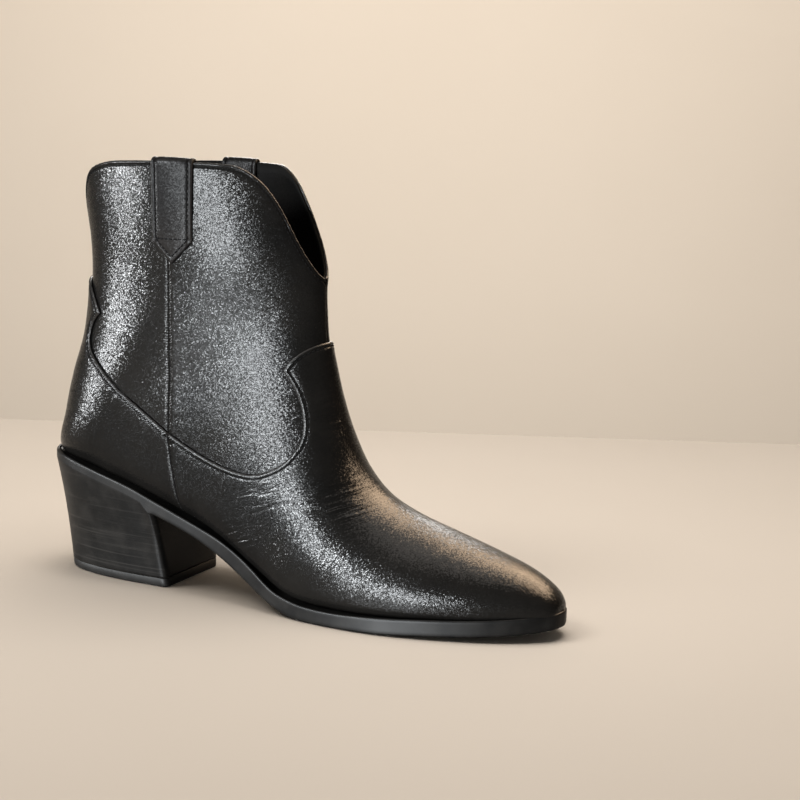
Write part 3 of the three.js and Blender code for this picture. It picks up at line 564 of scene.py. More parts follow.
def walled(faces, count):
    """The inner faces and the walls that close a sheet whose outer faces are given."""
    edges = {edge: True for f in faces for edge in zip(f, f[1:] + f[:1])}
    walls = [(b, a, a + count, b + count) for a, b in edges if (b, a) not in edges]
    return [tuple(i + count for i in f[::-1]) for f in faces] + walls


def dense_points(line):
    """Points close together along a line, to measure distances from it."""
    return surface(spread(line, 0.35))


def hex_grid(border, pitch):
    """Staggered rows of points over the border's bounding box."""
    low, high = border.min(axis=0), border.max(axis=0)
    step = pitch / UV_SCALE
    us = np.arange(low[0], high[0], step[0] * 0.87)
    angles = np.arange(low[1], high[1], step[1])
    u, angle = np.meshgrid(us, angles, indexing="ij")
    angle = angle + (np.arange(len(us)) % 2)[:, None] * step[1] / 2
    return np.stack([u.ravel(), angle.ravel()], 1)


# ---------------------------------------------------------------- thread
THREAD_SIDES = 6
THREAD_FORM = ((-1.0, -0.9, 0.15), (-0.86, -0.2, 0.8), (-0.45, 0.0, 1.0), (0.45, 0.0, 1.0),
               (0.86, -0.2, 0.8), (1.0, -0.9, 0.15))  # along, up (in radii), thickness


def thread_mesh(centres, ways, ups, radius):
    """Points and faces of short stitches that dip into the leather at both ends."""
    points, faces = [], []
    turn = np.linspace(0, 2 * np.pi, THREAD_SIDES, endpoint=False)
    for centre, way, up in zip(centres, ways, ups):
        side = np.cross(way, up)
        start = len(points)
        for along, rise, share in THREAD_FORM:
            middle = centre + way * along * STITCH_LENGTH / 2 + up * rise * radius
            points += [middle + radius * share * (side * math.cos(t) + up * math.sin(t))
                       for t in turn]
        rows = len(THREAD_FORM)
        faces += grid_faces(rows, THREAD_SIDES, closed=True, start=start)
        faces.append(tuple(range(start + THREAD_SIDES - 1, start - 1, -1)))
        faces.append(tuple(range(start + (rows - 1) * THREAD_SIDES, start + rows * THREAD_SIDES)))
    return points, faces


def row_of_stitches(uv, depth):
    """Centres, directions and outward directions of stitches along a line on the surface."""
    line = spread(uv, STITCH_PITCH)
    middle = (line[1:] + line[:-1]) / 2
    way = unit(np.diff(leather_point(line, depth), axis=0))
    return leather_point(middle, depth), way, normals(middle)


def sew(name, rows, radius=STITCH_RADIUS):
    """One piece of thread for several rows of stitches."""
    centres, ways, ups = (np.vstack(part) for part in zip(*rows))
    points, faces = thread_mesh(centres, ways, ups, radius)
    return make_piece(name, None, thread, points, faces)


# ---------------------------------------------------------------- materials
LEATHER_GLOSS = 0.085
EDGE_DULLNESS = 0.2  # added to the roughness along an edge
CREASE_LEAN = math.radians(20)
RUBBER_GLOSS = 0.06


class Nodes:
    """A material's node tree, with the short calls that the finishes below are written in."""

    def __init__(self, name):
        self.material = bpy.data.materials.new(name)
        self.material.use_nodes = True
        self.tree = self.material.node_tree
        self.shader = self.tree.nodes["Principled BSDF"]
        self.place = self.node("TexCoord", output="Object")

    def node(self, kind, inputs=None, output=0, **settings):
        """Adds a node, feeds its inputs and returns one of its outputs."""
        node = self.tree.nodes.new("ShaderNode" + kind)
        for key, value in settings.items():
            setattr(node, key, value)
        for key, value in (inputs or {}).items():
            self.feed(node.inputs[key], value)
        return node.outputs[output]

    def feed(self, socket, value):
        if isinstance(value, bpy.types.NodeSocket):
            self.tree.links.new(value, socket)
        else:
            socket.default_value = value

    def set(self, **values):
        for key, value in values.items():
            self.feed(self.shader.inputs[key.replace("_", " ")], value)

    def math(self, operation, a, b=0.0, clamp=False):
        return self.node("Math", {0: a, 1: b}, operation=operation, use_clamp=clamp)

    def vector(self, operation, *values):
        return self.node("VectorMath", dict(enumerate(values)), operation=operation)

    def noise(self, scale, detail=3.0, roughness=0.55, where=None, distortion=0.0):
        return self.node("TexNoise", {"Vector": where or self.place, "Scale": scale,
                                      "Detail": detail, "Roughness": roughness,
                                      "Distortion": distortion}, "Fac")

    def cells(self, scale, feature="F1", output="Distance", where=None):
        return self.node("TexVoronoi", {"Vector": where or self.place, "Scale": scale}, output,
                         feature=feature)

    def stretched(self, scale, where=None):
        return self.vector("MULTIPLY", where or self.place, scale)

    def leaning(self, angle, scale):
        """Coordinates turned about the y axis, then stretched."""
        turned = self.node("VectorRotate", {"Vector": self.place, "Angle": angle},
                           rotation_type="Y_AXIS")
        return self.stretched(scale, turned)

    def shaken(self, scale, amount):
        """Coordinates pushed about by noise, so that cells lose their straight edges."""
        noise = self.node("TexNoise", {"Vector": self.place, "Scale": scale}, "Color")
        return self.vector("MULTIPLY_ADD", noise, (amount,) * 3, self.place)

    def range(self, value, low, high, to_low=0.0, to_high=1.0):
        return self.node("MapRange", dict(enumerate((value, low, high, to_low, to_high))),
                         interpolation_type="SMOOTHSTEP")

    def mix(self, factor, a, b):
        return self.node("Mix", {"Factor": factor, "A": (*a, 1), "B": (*b, 1)}, "Result",
                         data_type="RGBA")

    def bump(self, height, distance, strength=1.0, after=None):
        inputs = {"Height": height, "Distance": distance, "Strength": strength}
        if after:
            inputs["Normal"] = after
        return self.node("Bump", inputs, "Normal")

    def glinting(self, normal, scale, amount):
        """A normal that leans a different way in every grain, so that highlights glitter."""
        lean = self.vector("MULTIPLY_ADD", self.cells(scale, output="Color"), (amount,) * 3,
                           (-amount / 2,) * 3)
        return self.vector("NORMALIZE", self.vector("ADD", normal, lean))

    def attribute(self, name):
        return self.node("Attribute", output="Fac", attribute_name=name)


def leather(name, dark, light, roughness, grain=1700.0, depth=0.00003, edge_burnish_and_highlight=0.5,
            gloss=LEATHER_GLOSS, glint=0.2):
    """Pebbled leather: fine grain that glints, pores, wear creases, and edges painted lighter, partly
    as burnish and partly as a painted highlight.
    """
    n = Nodes(name)
    pebbles = n.cells(grain, "SMOOTH_F1", where=n.shaken(900, 0.0003))
    cloud = n.noise(24, 4)
    near_edge = n.range(n.attribute("edge"), 0.1, 0.8, 1.0, 0.0)
    # Edges are painted lighter in colour: partly the burnish of wear, partly a painted highlight for
    # the light that catches a rounded edge.
    tint = n.math("ADD", n.math("MULTIPLY", n.range(cloud, 0.35, 0.7), 0.3),
                  n.math("MULTIPLY", near_edge, edge_burnish_and_highlight), clamp=True)
    polish = n.range(cloud, 0.3, 0.75, roughness + 0.03, roughness - 0.03)
    folds = n.bump(n.noise(42, 2, 0.4), 0.0005, 0.4)
    creases = n.noise(1.0, 2, 0.45, where=n.leaning(CREASE_LEAN, (70, 40, 420)), distortion=0.4)
    creased = n.bump(creases, 0.0009, n.attribute("crease"), folds)
    pebbled = n.bump(pebbles, depth, 1.0, creased)
    grained = n.bump(n.noise(grain * 2.4, 3), depth * 0.2, 0.8, pebbled)
    shine = n.range(n.attribute("stitched"), 0.0, 1.0, gloss, 0.0)
    n.set(Base_Color=n.mix(tint, dark, light), Specular_IOR_Level=shine,
          Roughness=n.math("ADD", polish, n.math("MULTIPLY", near_edge, EDGE_DULLNESS)),
          Normal=n.glinting(grained, grain, glint))
    return n.material


def rubber(name, dark, light, roughness, speckle=0.00001):
    """Satin rubber; below the sole's wall it is scored with the thin level lines of a stacked heel."""
    n = Nodes(name)
    stack = n.noise(60, 4, 0.6, where=n.stretched((0.22, 0.22, 14.0)))
    streaks = n.math("MULTIPLY", n.range(stack, 0.52, 0.72), n.attribute("stack"))
    dust = n.noise(40, 5)
    fine = n.noise(5200, 3)
    tint = n.math("ADD", n.math("MULTIPLY", n.range(n.noise(90, 5), 0.35, 0.7), 0.5), streaks)
    n.set(Base_Color=n.mix(tint, dark, light),
          Roughness=n.range(dust, 0.3, 0.7, roughness - 0.02, roughness + 0.02),
          Normal=n.bump(fine, speckle, 0.8, n.bump(stack, 0.00008, n.attribute("stack"))),
          Specular_IOR_Level=RUBBER_GLOSS)
    return n.material


def woven(name, dark, light):
    """Twisted thread."""
    n = Nodes(name)
    twist = n.noise(1500, 2, where=n.stretched((1, 1, 2.5)))
    n.set(Base_Color=n.mix(n.range(twist, 0.3, 0.7), dark, light), Roughness=0.85,
          Specular_IOR_Level=0.03, Normal=n.bump(twist, 0.0001, 0.9))
    return n.material


def granular(name, dark, light, scale, roughness=0.9, metallic=0.0):
    """Hidden stock: board, foam, cork, moulded plastic or steel, told apart by grain and colour."""
    n = Nodes(name)
    grain = n.noise(scale, 5, 0.65)
    n.set(Base_Color=n.mix(n.range(grain, 0.3, 0.7), dark, light),
          Roughness=n.range(grain, 0.3, 0.7, roughness - 0.08, roughness + 0.05),
          Metallic=metallic, Normal=n.bump(grain, 0.0001, 0.7))
    return n.material


upper = leather("upper_leather", (0.0007, 0.00065, 0.0006), (0.0034, 0.003, 0.0026), 0.2,
                grain=2500, glint=0.25)
# The strap's edges are painted lighter still: burnish and a painted highlight along each edge.
strap_leather = leather("strap_leather", (0.001, 0.0009, 0.0009), (0.006, 0.0052, 0.0046), 0.3,
                        grain=2000, depth=0.00003, edge_burnish_and_highlight=0.65, gloss=0.03, glint=0.22)
lining_leather = leather("lining_leather", (0.001, 0.00095, 0.0009), (0.0026, 0.0023, 0.002), 0.6,
                         grain=2300, depth=0.000015, gloss=0.012)
sock_leather = leather("sock_leather", (0.02, 0.019, 0.019), (0.04, 0.037, 0.035), 0.66,
                       grain=2300, depth=0.000015)
wall_rubber = rubber("sole_rubber", (0.0008, 0.00075, 0.0007), (0.0032, 0.0029, 0.0026), 0.4)
lift_rubber = rubber("lift_rubber", (0.0012, 0.0011, 0.001), (0.0036, 0.0033, 0.003), 0.5, 0.00002)
thread = woven("waxed_thread", (0.0003, 0.0003, 0.0003), (0.0009, 0.0008, 0.0008))

HIDDEN_STOCK = {  # dark, light and scale, then roughness and metallic
    "stiffener_board": ((0.42, 0.34, 0.22), (0.55, 0.46, 0.32), 900),
    "insole_board": ((0.28, 0.19, 0.1), (0.42, 0.3, 0.17), 700),
    "foam": ((0.62, 0.59, 0.52), (0.78, 0.75, 0.68), 2200),
    "filler_cork": ((0.2, 0.12, 0.06), (0.42, 0.28, 0.16), 500),
    "heel_core_plastic": ((0.03, 0.03, 0.032), (0.05, 0.05, 0.052), 1500, 0.55),
    "steel": ((0.32, 0.33, 0.35), (0.5, 0.51, 0.53), 800, 0.38, 1.0),
}
NODE_SLOTS = {
    "toe_puff": "stiffener_board", "vamp_backer": "stiffener_board",
    "heel_stiffener": "stiffener_board", "insole_board": "insole_board", "sock_foam": "foam",
    "bottom_filler": "filler_cork", "heel_core": "heel_core_plastic",
}
STEEL_NODES = ("steel_shank", "shank_rivet", "heel_nail", "heel_screw", "top_lift_pin")


def dress_carried_over():
    """Gives the hidden CAD nodes, which nothing replaces, their materials."""
    stock = {name: granular(name, *finish) for name, finish in HIDDEN_STOCK.items()}
    for name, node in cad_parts.items():
        slot = "steel" if name.startswith(STEEL_NODES) else NODE_SLOTS.get(name)
        if slot:
            node.data.materials.clear()
            node.data.materials.append(stock[slot])


# ---------------------------------------------------------------- upper
FEATHER_DEPTH = 2.5  # the upper's edge lies this far below the top of the sole's rim
FEATHER_END = 14.6  # section, above the seat
COUNTER_END = 14.2  # section where the counter's foot ends, at the back above the seat


def feather_line():
    """Where the lateral side goes down behind the sole's rim, from the toe to above the seat."""
    u = np.linspace(0, FEATHER_END, 240)
    low, high = np.full(len(u), np.pi / 2), np.full(len(u), np.pi)
    for _ in range(40):
        middle = (low + high) / 2
        point = skin(u, middle)
        above = point[:, 2] > rim_z(point[:, 0]) - FEATHER_DEPTH
        low, high = np.where(above, middle, low), np.where(above, high, middle)
    return np.stack([u, high], 1)


def cut_below(line, feather):
    """The part of a line that runs down from the junction, cut where it meets the feather line."""
    limit = np.interp(line[:, 0], feather[:, 0], feather[:, 1])
    return line[line[:, 1] < limit]


vamp_edge = joined(on_skin(VAMP_LOBE), on_skin(VAMP_CREST))
counter_edge = joined(on_skin(COUNTER_SWEEP), on_skin(COUNTER_CREST))
vamp_edge[-1, 1] = 0.0
counter_edge[-1, 1] = np.pi
feather = feather_line()
short_seam = cut_below(on_skin(QUARTER_SEAM, 24), feather)
topline = on_skin(TOPLINE)
topline[0, 1], topline[-1, 1] = np.pi, 0.0
hem_front, hem_back = on_skin(HEM_FRONT), on_skin(HEM_BACK)
hem_front[-1, 1], hem_back[-1, 1] = 0.0, np.pi
side_seam = on_skin([(JUNCTION[0], z) for z in (68, 90, 120, 150, 180, 208.4)])


def feather_between(u0, u1):
    part = feather[(feather[:, 0] > min(u0, u1)) & (feather[:, 0] < max(u0, u1))]
    return part if u0 < u1 else part[::-1]


def tip_line(half_turn):
    """The toe's closing point, gone round from one side to the other."""
    angles = np.linspace(half_turn, -half_turn, 25)
    return np.stack([np.zeros(len(angles)), angles], 1)


def build_vamp():
    foot = feather_between(short_seam[-1, 0], 0.0)
    foot = np.vstack([short_seam[-1:], foot, [[0.0, np.pi]]])
    loop = [
        (short_seam, seam_profile), (foot, None), (tip_line(np.pi), None),
        (mirrored(foot), None), (mirrored(short_seam), seam_profile),
        (mirrored(vamp_edge[::-1]), folded_profile), (vamp_edge[::-1], folded_profile)]
    return panel("vamp_leather", "vamp", loop, 0.0)


def build_counter():
    foot = np.vstack([short_seam[-1:], feather_between(short_seam[-1, 0], COUNTER_END)])
    foot = foot[foot[:, 1] < np.pi - 1e-4]
    foot = np.vstack([foot, [[foot[-1, 0], np.pi]]])
    turn = 2 * np.pi
    loop = [
        (short_seam, seam_profile), (foot, None), (mirrored(foot, turn), None),
        (mirrored(short_seam, turn), seam_profile),
        (mirrored(counter_edge[::-1], turn), folded_profile),
        (counter_edge[::-1], folded_profile)]
    return panel("counter_leather", "counter_cover", loop, 0.0)


def split_at_seam(line):
    """A line that crosses the side seam, as its part in front and its part behind."""
    x = surface(line)[:, 0]
    at = int(np.argmin(np.abs(x - JUNCTION[0])))
    return line[at:], line[:at + 1]


def centre_line(u0, u1, angle):
    u = np.linspace(u0, u1, 40)
    return np.stack([u, np.full(len(u), angle)], 1)


def build_shaft():
    top_front, top_back = split_at_seam(topline)
    for side, flip in (("lateral", False), ("medial", True)):
        front = [
            (side_seam, seam_profile), (top_front, folded_profile),
            (centre_line(top_front[-1, 0], hem_front[-1, 0], 0.0), seam_profile),
            (hem_front[::-1], None)]
        back = [
            (side_seam, seam_profile), (top_back[::-1], folded_profile),
            (centre_line(top_back[0, 0], hem_back[-1, 0], np.pi), seam_profile),
            (hem_back[::-1], None)]
        for part, loop in (("front", front), ("back", back)):
            if flip:
                turn = 0.0 if part == "front" else 2 * np.pi
                loop = [(mirrored(line, turn), profile) for line, profile in loop[::-1]]
            panel(f"shaft_{part}_{side}_leather", f"shaft_{part}_{side}", loop, SHAFT_DEPTH)


# ---------------------------------------------------------------- linings and sock
LINING_FOOT = 4.0  # section where the linings start
LINING_LIFT = 0.25  # brings the linings closer to the shaft's leather than the CAD does


def build_linings():
    """The two halves of the lining; they also stand for its hidden parts in the vamp and heel."""
    angle = np.linspace(0.0, np.pi, 44)
    top = np.interp(angle, topline[::-1, 1], topline[::-1, 0])
    grid_u = LINING_FOOT + (top[None, :] - LINING_FOOT) * np.linspace(0, 1, 60)[:, None]
    for name, side, hidden in (("lateral", 1, "vamp_lining"), ("medial", -1, "heel_grip")):
        grid_angle = side * np.broadcast_to(angle, grid_u.shape)
        uv = np.stack([grid_u.ravel(), grid_angle.ravel()], 1)
        points, faces = closed_grid(*(leather_point(uv, depth).reshape(*grid_u.shape, 3)
                                      for depth in (LINING_DEPTH - LINING_LIFT, CAVITY_DEPTH)))
        make_piece(f"lining_{name}", (f"quarter_lining_{name}", hidden), lining_leather,
                   points, faces, {"edge": np.full(len(points), FAR_FROM_EDGE)})


SOCK_SPAN = (2.2, 13.6)  # sections that the sock runs between
SOCK_ROWS, SOCK_COLUMNS, WALL_STEPS = 70, 15, 60
SOCK_CUP = 0.25  # how far its sides stand above its middle


def sock_grid(depth):
    """A sheet at a depth over the bottom's middle line, as wide as the cavity is there."""
    u, across = np.linspace(*SOCK_SPAN, SOCK_ROWS), np.linspace(-1, 1, SOCK_COLUMNS)
    middle = skin(u, np.full(SOCK_ROWS, np.pi), depth)
    grid = np.zeros((SOCK_ROWS, SOCK_COLUMNS, 3))
    for side in (-1, 1):
        angles = np.linspace(np.pi / 2, np.pi, WALL_STEPS) * -side
        wall = np.array([skin(np.full(WALL_STEPS, a), angles, CAVITY_DEPTH) for a in u])
        height = np.abs(wall[:, :, 2] - middle[:, None, 2])
        width = wall[np.arange(SOCK_ROWS), np.argmin(height, axis=1), 1]
        half = (across * side) >= 0
        grid[:, half, 1] = width[:, None] * np.abs(across[half])
    grid[:, :, 0] = middle[:, None, 0]
    grid[:, :, 2] = middle[:, None, 2] + SOCK_CUP * across ** 2
    return grid


def build_sock():
    points, faces = closed_grid(sock_grid(SOCK_DEPTH + SOCK_THICK), sock_grid(SOCK_DEPTH))
    make_piece("sock_sheet", "sock_cover", sock_leather, points, faces,
               {"edge": np.full(len(points), FAR_FROM_EDGE)})


# ---------------------------------------------------------------- pull straps
STRAP_EDGE_STITCH = 2.3
STRAP_OUTER = SHAFT_DEPTH - GAP - STRAP_THICK
STRAP_INNER = CAVITY_DEPTH + GAP + STRAP_THICK
FOLD_BASE = 207.2
FOLD_RISE = 0.98
STRAP_SLOPE = (STRAP_SHOULDER - STRAP_TIP) / (STRAP_WIDTH / 2)
CROSS_STITCH_Z = STRAP_SHOULDER + 1.2
INSETS = np.array([0, 0.12, 0.35, 0.7, 1.15, 1.7, 2.1, 2.3, 2.5, 3.0, 4.2, 6.2, 8.4])
TIP_INSETS = INSETS[:11]  # the ones that rows follow beside the pointed end


def strap_profile(s):
    """Height of a strap's face: rolled edges outside the stitching, a soft crown inside it."""
    roll, groove = ridge(s, 0.16, 1.05, 0.6), ridge(s, -0.3, STRAP_EDGE_STITCH, 0.45)
    crown = 0.2 * (1 - np.exp(-np.clip(s - STRAP_EDGE_STITCH, 0, None) / 2.0))
    return roll - rounding(s, 0.7, 0.8) + groove + crown


def strap_columns():
    """Places across a strap, closer together beside its edges."""
    left = INSETS - STRAP_WIDTH / 2
    return np.r_[left, 0.0, -left[::-1]]


def tip_height(across):
    return STRAP_TIP + STRAP_SLOPE * np.abs(across)


def to_edge(across, z, pointed):
    """Distance from a strap's nearest edge; a pointed leg has its V end too."""
    side = STRAP_WIDTH / 2 - np.abs(across)
    if not pointed:
        return np.minimum(side, z - STRAP_INNER_END)
    return np.minimum(side, (z - tip_height(across)) / math.hypot(1, STRAP_SLOPE))


def strap_point(across, z, depth, side):
    """Point of a strap leg at a place across it, a height and a depth; side is 1 or -1."""
    uv = locate(np.stack([STRAP_X + across, np.minimum(z, FOLD_BASE)], 1))
    uv[:, 1] *= side
    point = surface(uv, depth)
    point[:, 0], point[:, 2] = STRAP_X + across, z
    return point


def strap_rise(s, front):
    """Height of a strap's face over its plane, or of its back below it."""
    return strap_profile(s) if front else np.full(len(s), -STRAP_THICK)


def outer_rows(columns):
    """Rows of heights up the outer leg: beside the pointed end, then level."""
    tip = tip_height(columns)
    level = np.linspace(STRAP_SHOULDER + 4.5, FOLD_BASE, 26)
    last = tip + TIP_INSETS[-1]
    return ([tip + inset for inset in TIP_INSETS]
            + [last + (level[0] - last) * share for share in (0.33, 0.66)]
            + [np.full(len(columns), z) for z in level])


def strap_fold(columns, side, front):
    """Rows of points over the fold, from the outer leg's top to the inner leg's."""
    rise = strap_rise(STRAP_WIDTH / 2 - np.abs(columns), front)
    base = np.full(len(columns), FOLD_BASE)
    outer = strap_point(columns, base, STRAP_OUTER - rise, side)
    inner = strap_point(columns, base, STRAP_INNER + rise, side)
    middle, reach = (outer + inner) / 2, (outer - inner) / 2
    up = np.array([0, 0, FOLD_RISE]) * np.linalg.norm(reach, axis=1, keepdims=True)
    return [middle + reach * math.cos(turn) + up * math.sin(turn)
            for turn in np.linspace(0, np.pi, 15)[1:]]


def strap_sheet(side, front):
    """Rows of points on a strap's face or back: up the outer leg, over and down the inner."""
    columns = strap_columns()
    grid = []
    for z in outer_rows(columns):
        rise = strap_rise(to_edge(columns, z, True), front) - front * cross_stitch(z)
        grid.append(strap_point(columns, z, STRAP_OUTER - rise, side))
    grid += strap_fold(columns, side, front)
    for z in np.linspace(FOLD_BASE, STRAP_INNER_END, 22)[1:]:
        heights = np.full(len(columns), z)
        rise = strap_rise(to_edge(columns, heights + 0.01, False), front)
        grid.append(strap_point(columns, heights, STRAP_INNER + rise, side))
    return np.array(grid)


def cross_stitch(z):
    """The shallow furrow of the stitching across the outer leg."""
    return ridge(z, 0.3, CROSS_STITCH_Z, 0.5)


def build_straps():
    edge = STRAP_WIDTH / 2 - np.abs(strap_columns())
    for name, side in (("lateral", 1), ("medial", -1)):
        points, faces = closed_grid(strap_sheet(side, True), strap_sheet(side, False))
        edges = np.tile(edge, len(points) // len(edge))
        make_piece(f"strap_{name}", f"pull_strap_{name}", strap_leather, points, faces,
                   {"edge": edges, "stitched": stitch_shade(edges - STRAP_EDGE_STITCH)})
        sew_strap(name, side)


def strap_row(across, z, side, lift=0.1):
    """Stitches along a line on the outer leg, given as places across and heights."""
    line = resample(np.column_stack([across, z]), STITCH_PITCH)
    sunk = strap_profile(np.full(len(line), STRAP_EDGE_STITCH)) * 0.6 + lift
    points = strap_point(line[:, 0], line[:, 1], STRAP_OUTER - sunk, side)
    way = unit(np.diff(points, axis=0))
    outwards = np.tile([0.0, -side, 0.05], (len(way), 1))
    outwards -= way * np.sum(way * outwards, axis=1, keepdims=True)
    return (points[1:] + points[:-1]) / 2, way, unit(outwards)


def sew_strap(name, side):
    """The thread along a strap's edges, round its point and across its outer leg."""
    inset = STRAP_WIDTH / 2 - STRAP_EDGE_STITCH
    low = STRAP_TIP + STRAP_EDGE_STITCH * math.hypot(1, STRAP_SLOPE)
    knee = low + STRAP_SLOPE * inset
    rows = [strap_row([x, x], [knee, FOLD_BASE + 0.5], side) for x in (-inset, inset)]
    rows += [strap_row([0, x], [low, knee], side) for x in (-inset, inset)]
    rows.append(strap_row([-inset, inset], [CROSS_STITCH_Z] * 2, side, lift=0.3))
    sew(f"strap_thread_{name}", rows, radius=0.36)


# ---------------------------------------------------------------- stitching of the upper
CENTRE_CLEAR = 0.06  # radians kept free of thread at the front and back centre lines
FACE_GROOVE, TOPLINE_GROOVE, SIDE_GROOVE, SHORT_GROOVE = 0.12, 0.1, 0.25, 0.2


def sewn_beside(edge, turn, distance, depth):
    """Rows of stitches to the left (+) of an edge, and of its mirror image."""
    rows = []
    for line in (edge, mirrored(edge, turn)):
        row = offset_line(spread(line, 0.8), distance)
        rows.append(row_of_stitches(trimmed(row, spread(line, 0.4), abs(distance)), depth))
    return rows


def sewn_along(seam, depth):
    return [row_of_stitches(spread(line, 0.8), depth) for line in (seam, mirrored(seam))]


def build_stitching():
    sew("vamp_thread", sewn_beside(vamp_edge, 0.0, -FOLD_STITCH, FACE_GROOVE))
    sew("counter_thread", sewn_beside(counter_edge, 2 * np.pi, FOLD_STITCH, FACE_GROOVE))
    sew("topline_thread", sewn_beside(topline, 0.0, -TOPLINE_STITCH,
                                      SHAFT_DEPTH + TOPLINE_GROOVE))
    sew("seam_thread", sewn_along(side_seam, SHAFT_DEPTH + SIDE_GROOVE)
        + sewn_along(short_seam, SHORT_GROOVE))


def trimmed(row, line, distance):
    """A row beside a line without the points too close to the line or to a centre line."""
    tree = surface_tree(line)
    clear = distances(surface(row), tree) > 0.85 * distance
    own_side = np.sign(np.sin(line[len(line) // 2, 1]))
    return row[clear & (np.sin(row[:, 1]) * own_side > CENTRE_CLEAR)]


# ---------------------------------------------------------------- sole
WALL_ROWS = (  # inset from the outline, height measured from the underside (0) or the rim (1)
    (1.0, 0, 0.0), (0.5, 0, 0.13), (0.14, 0, 0.5), (0.0, 0, 1.0), (0.0, 0, 2.2), (0.0, 1, -1.6),
    (0.0, 1, -0.9), (0.12, 1, -0.42), (0.42, 1, -0.1), (0.85, 1, 0.0), (1.15, 1, -0.12),
    (1.35, 1, -0.45), (1.45, 1, -0.9), (1.6, 1, -1.4), (3.4, 1, -1.6))
WALL_RISE_START, WALL_RISE_RUN, WALL_RISE_GAP = 0.5, 6.0, 4.2
TREAD_ROWS = 4  # the first rows, which round the bottom edge in front of the heel
BORDER_INSET = 8.5
BORDER_REAR = 142.5
SOLE_SINK = 1.6
BREAST_DISH = 0.5
GROOVE_WIDTH = 1.2
GROOVE_DEPTH = 0.9
GROOVE_PITCH = 8.5
GROOVE_FIRST = 151.0
GROOVE_LAST = GROOVE_FIRST + 12 * GROOVE_PITCH
GROOVE_BEVEL = 0.08  # plan width of a groove's side wall
HEEL_CORNER = 2.6
HEEL_BOTTOM = TOP_LIFT_THICK + GAP
LIFT_BEVEL = 0.6
HEEL_FLARE = 0.25


def sole_outline():
    """The outline in plan, clockwise from above: behind the breast, then in front of it."""
    edge = HEEL_TOP_BREAST
    halves = []
    for line, sign in ((plan_lateral, -1), (plan_medial, 1)):
        corner = [[edge, np.interp(edge, line[:, 0], line[:, 1])]]
        behind, ahead = line[line[:, 0] < edge], line[line[:, 0] > edge]
        halves.append((np.vstack([behind, corner]) * [1, sign],
                       np.vstack([corner, ahead]) * [1, sign]))
    (rear_lateral, front_lateral), (rear_medial, front_medial) = halves
    rear = np.vstack([rear_lateral[::-1], rear_medial[1:]])
    front = np.vstack([front_medial, front_lateral[::-1][1:]])
    return resample(rear, 1.5), resample(front, 1.5)


def flat_points(plan):
    return np.column_stack([plan, np.zeros(len(plan))])


def outline_points():
    rear, front = sole_outline()
    return resample(np.vstack([rear, front[1:]]), 0.3)


def outward(loop):
    """Outward directions of a closed loop that runs clockwise from above."""
    way = unit(np.roll(loop, -1, axis=0) - np.roll(loop, 1, axis=0))
    return np.stack([-way[:, 1], way[:, 0]], 1)


class Soup:
    """Points and faces collected from several parts of one piece."""

    def __init__(self):
        self.points, self.faces, self.count = [], [], 0

    def add(self, points, faces):
        self.faces += [tuple(self.count + i for i in face) for face in faces]
        self.points.append(np.asarray(points, float).reshape(-1, 3))
        self.count += len(self.points[-1])

    def grid(self, rows, closed=False):
        rows = np.asarray(rows)
        self.add(rows, grid_faces(rows.shape[0], rows.shape[1], closed))

    def sheet(self, loops, free, height):
        """Triangles over closed plan loops, the first the outer one, at a height over plan."""
        numbers, start = [], 0
        for loop in loops:
            numbers.append(list(range(start, start + len(loop))))
            start += len(loop)
        plan, faces = triangulate(np.vstack([*loops, free]), numbers)
        self.add(np.column_stack([plan, height(plan)]), faces)


def wall_bottom(x):
    """Where the sole's wall ends below; over the heel it ends high, so the two run on smoothly."""
    share = np.clip((HEEL_TOP_BREAST - WALL_RISE_START - x) / WALL_RISE_RUN, 0, 1)
    ease = share * share * (3 - 2 * share)
    return under_z(x) + (rim_z(x) - WALL_RISE_GAP - under_z(x)) * ease


def rubber_wall(loop, heel_count):
    """Rows of points round the sole, from its bottom edge over the rim to below the upper."""
    directions = outward(loop)
    ahead = np.arange(len(loop)) >= heel_count
    rows = []
    for k, (inset, from_rim, rise) in enumerate(WALL_ROWS):
        share = ahead if k < TREAD_ROWS else np.ones(len(loop))
        plan = loop - directions * (inset * share)[:, None]
        base = rim_z(loop[:, 0]) if from_rim else wall_bottom(loop[:, 0])
        rows.append(np.column_stack([plan, base + rise]))
    return np.array(rows)


outline_tree = tree_of(flat_points(outline_points()))


def border_ring(loop, level):
    """The tread's border at a level: inset from the outline, with a straight rear end."""
    inset, rear = BORDER_INSET + level, BORDER_REAR + level
    ring = loop - outward(loop) * inset
    ring = ring[distances(flat_points(ring), outline_tree) > 0.985 * inset]
    ring = np.roll(ring, -int(np.argmin(ring[:, 0])), axis=0)
    ahead = ring[ring[:, 0] > rear]
    first, last = ahead[0].copy(), ahead[-1].copy()
    first[0] = last[0] = rear
    across = np.linspace(last, first, 14)[1:-1]
    return np.vstack([first, ahead, last, across])


def tread_height(plan):
    """The underside in front of the heel, with its border groove and cross grooves."""
    level = np.minimum(distances(flat_points(plan), outline_tree) - BORDER_INSET,
                       plan[:, 0] - BORDER_REAR)
    wall = GROOVE_BEVEL / 2
    in_border = (level > wall) & (level < GROOVE_WIDTH - wall)
    place_in_pitch = (plan[:, 0] - GROOVE_FIRST + GROOVE_PITCH / 2) % GROOVE_PITCH
    from_groove = np.abs(place_in_pitch - GROOVE_PITCH / 2)
    in_cross = (from_groove < GROOVE_WIDTH / 2 - wall) & (level > wall)
    in_cross &= (plan[:, 0] > GROOVE_FIRST - 1) & (plan[:, 0] < GROOVE_LAST + 1)
    return under_z(plan[:, 0]) + GROOVE_DEPTH * (in_border | in_cross)


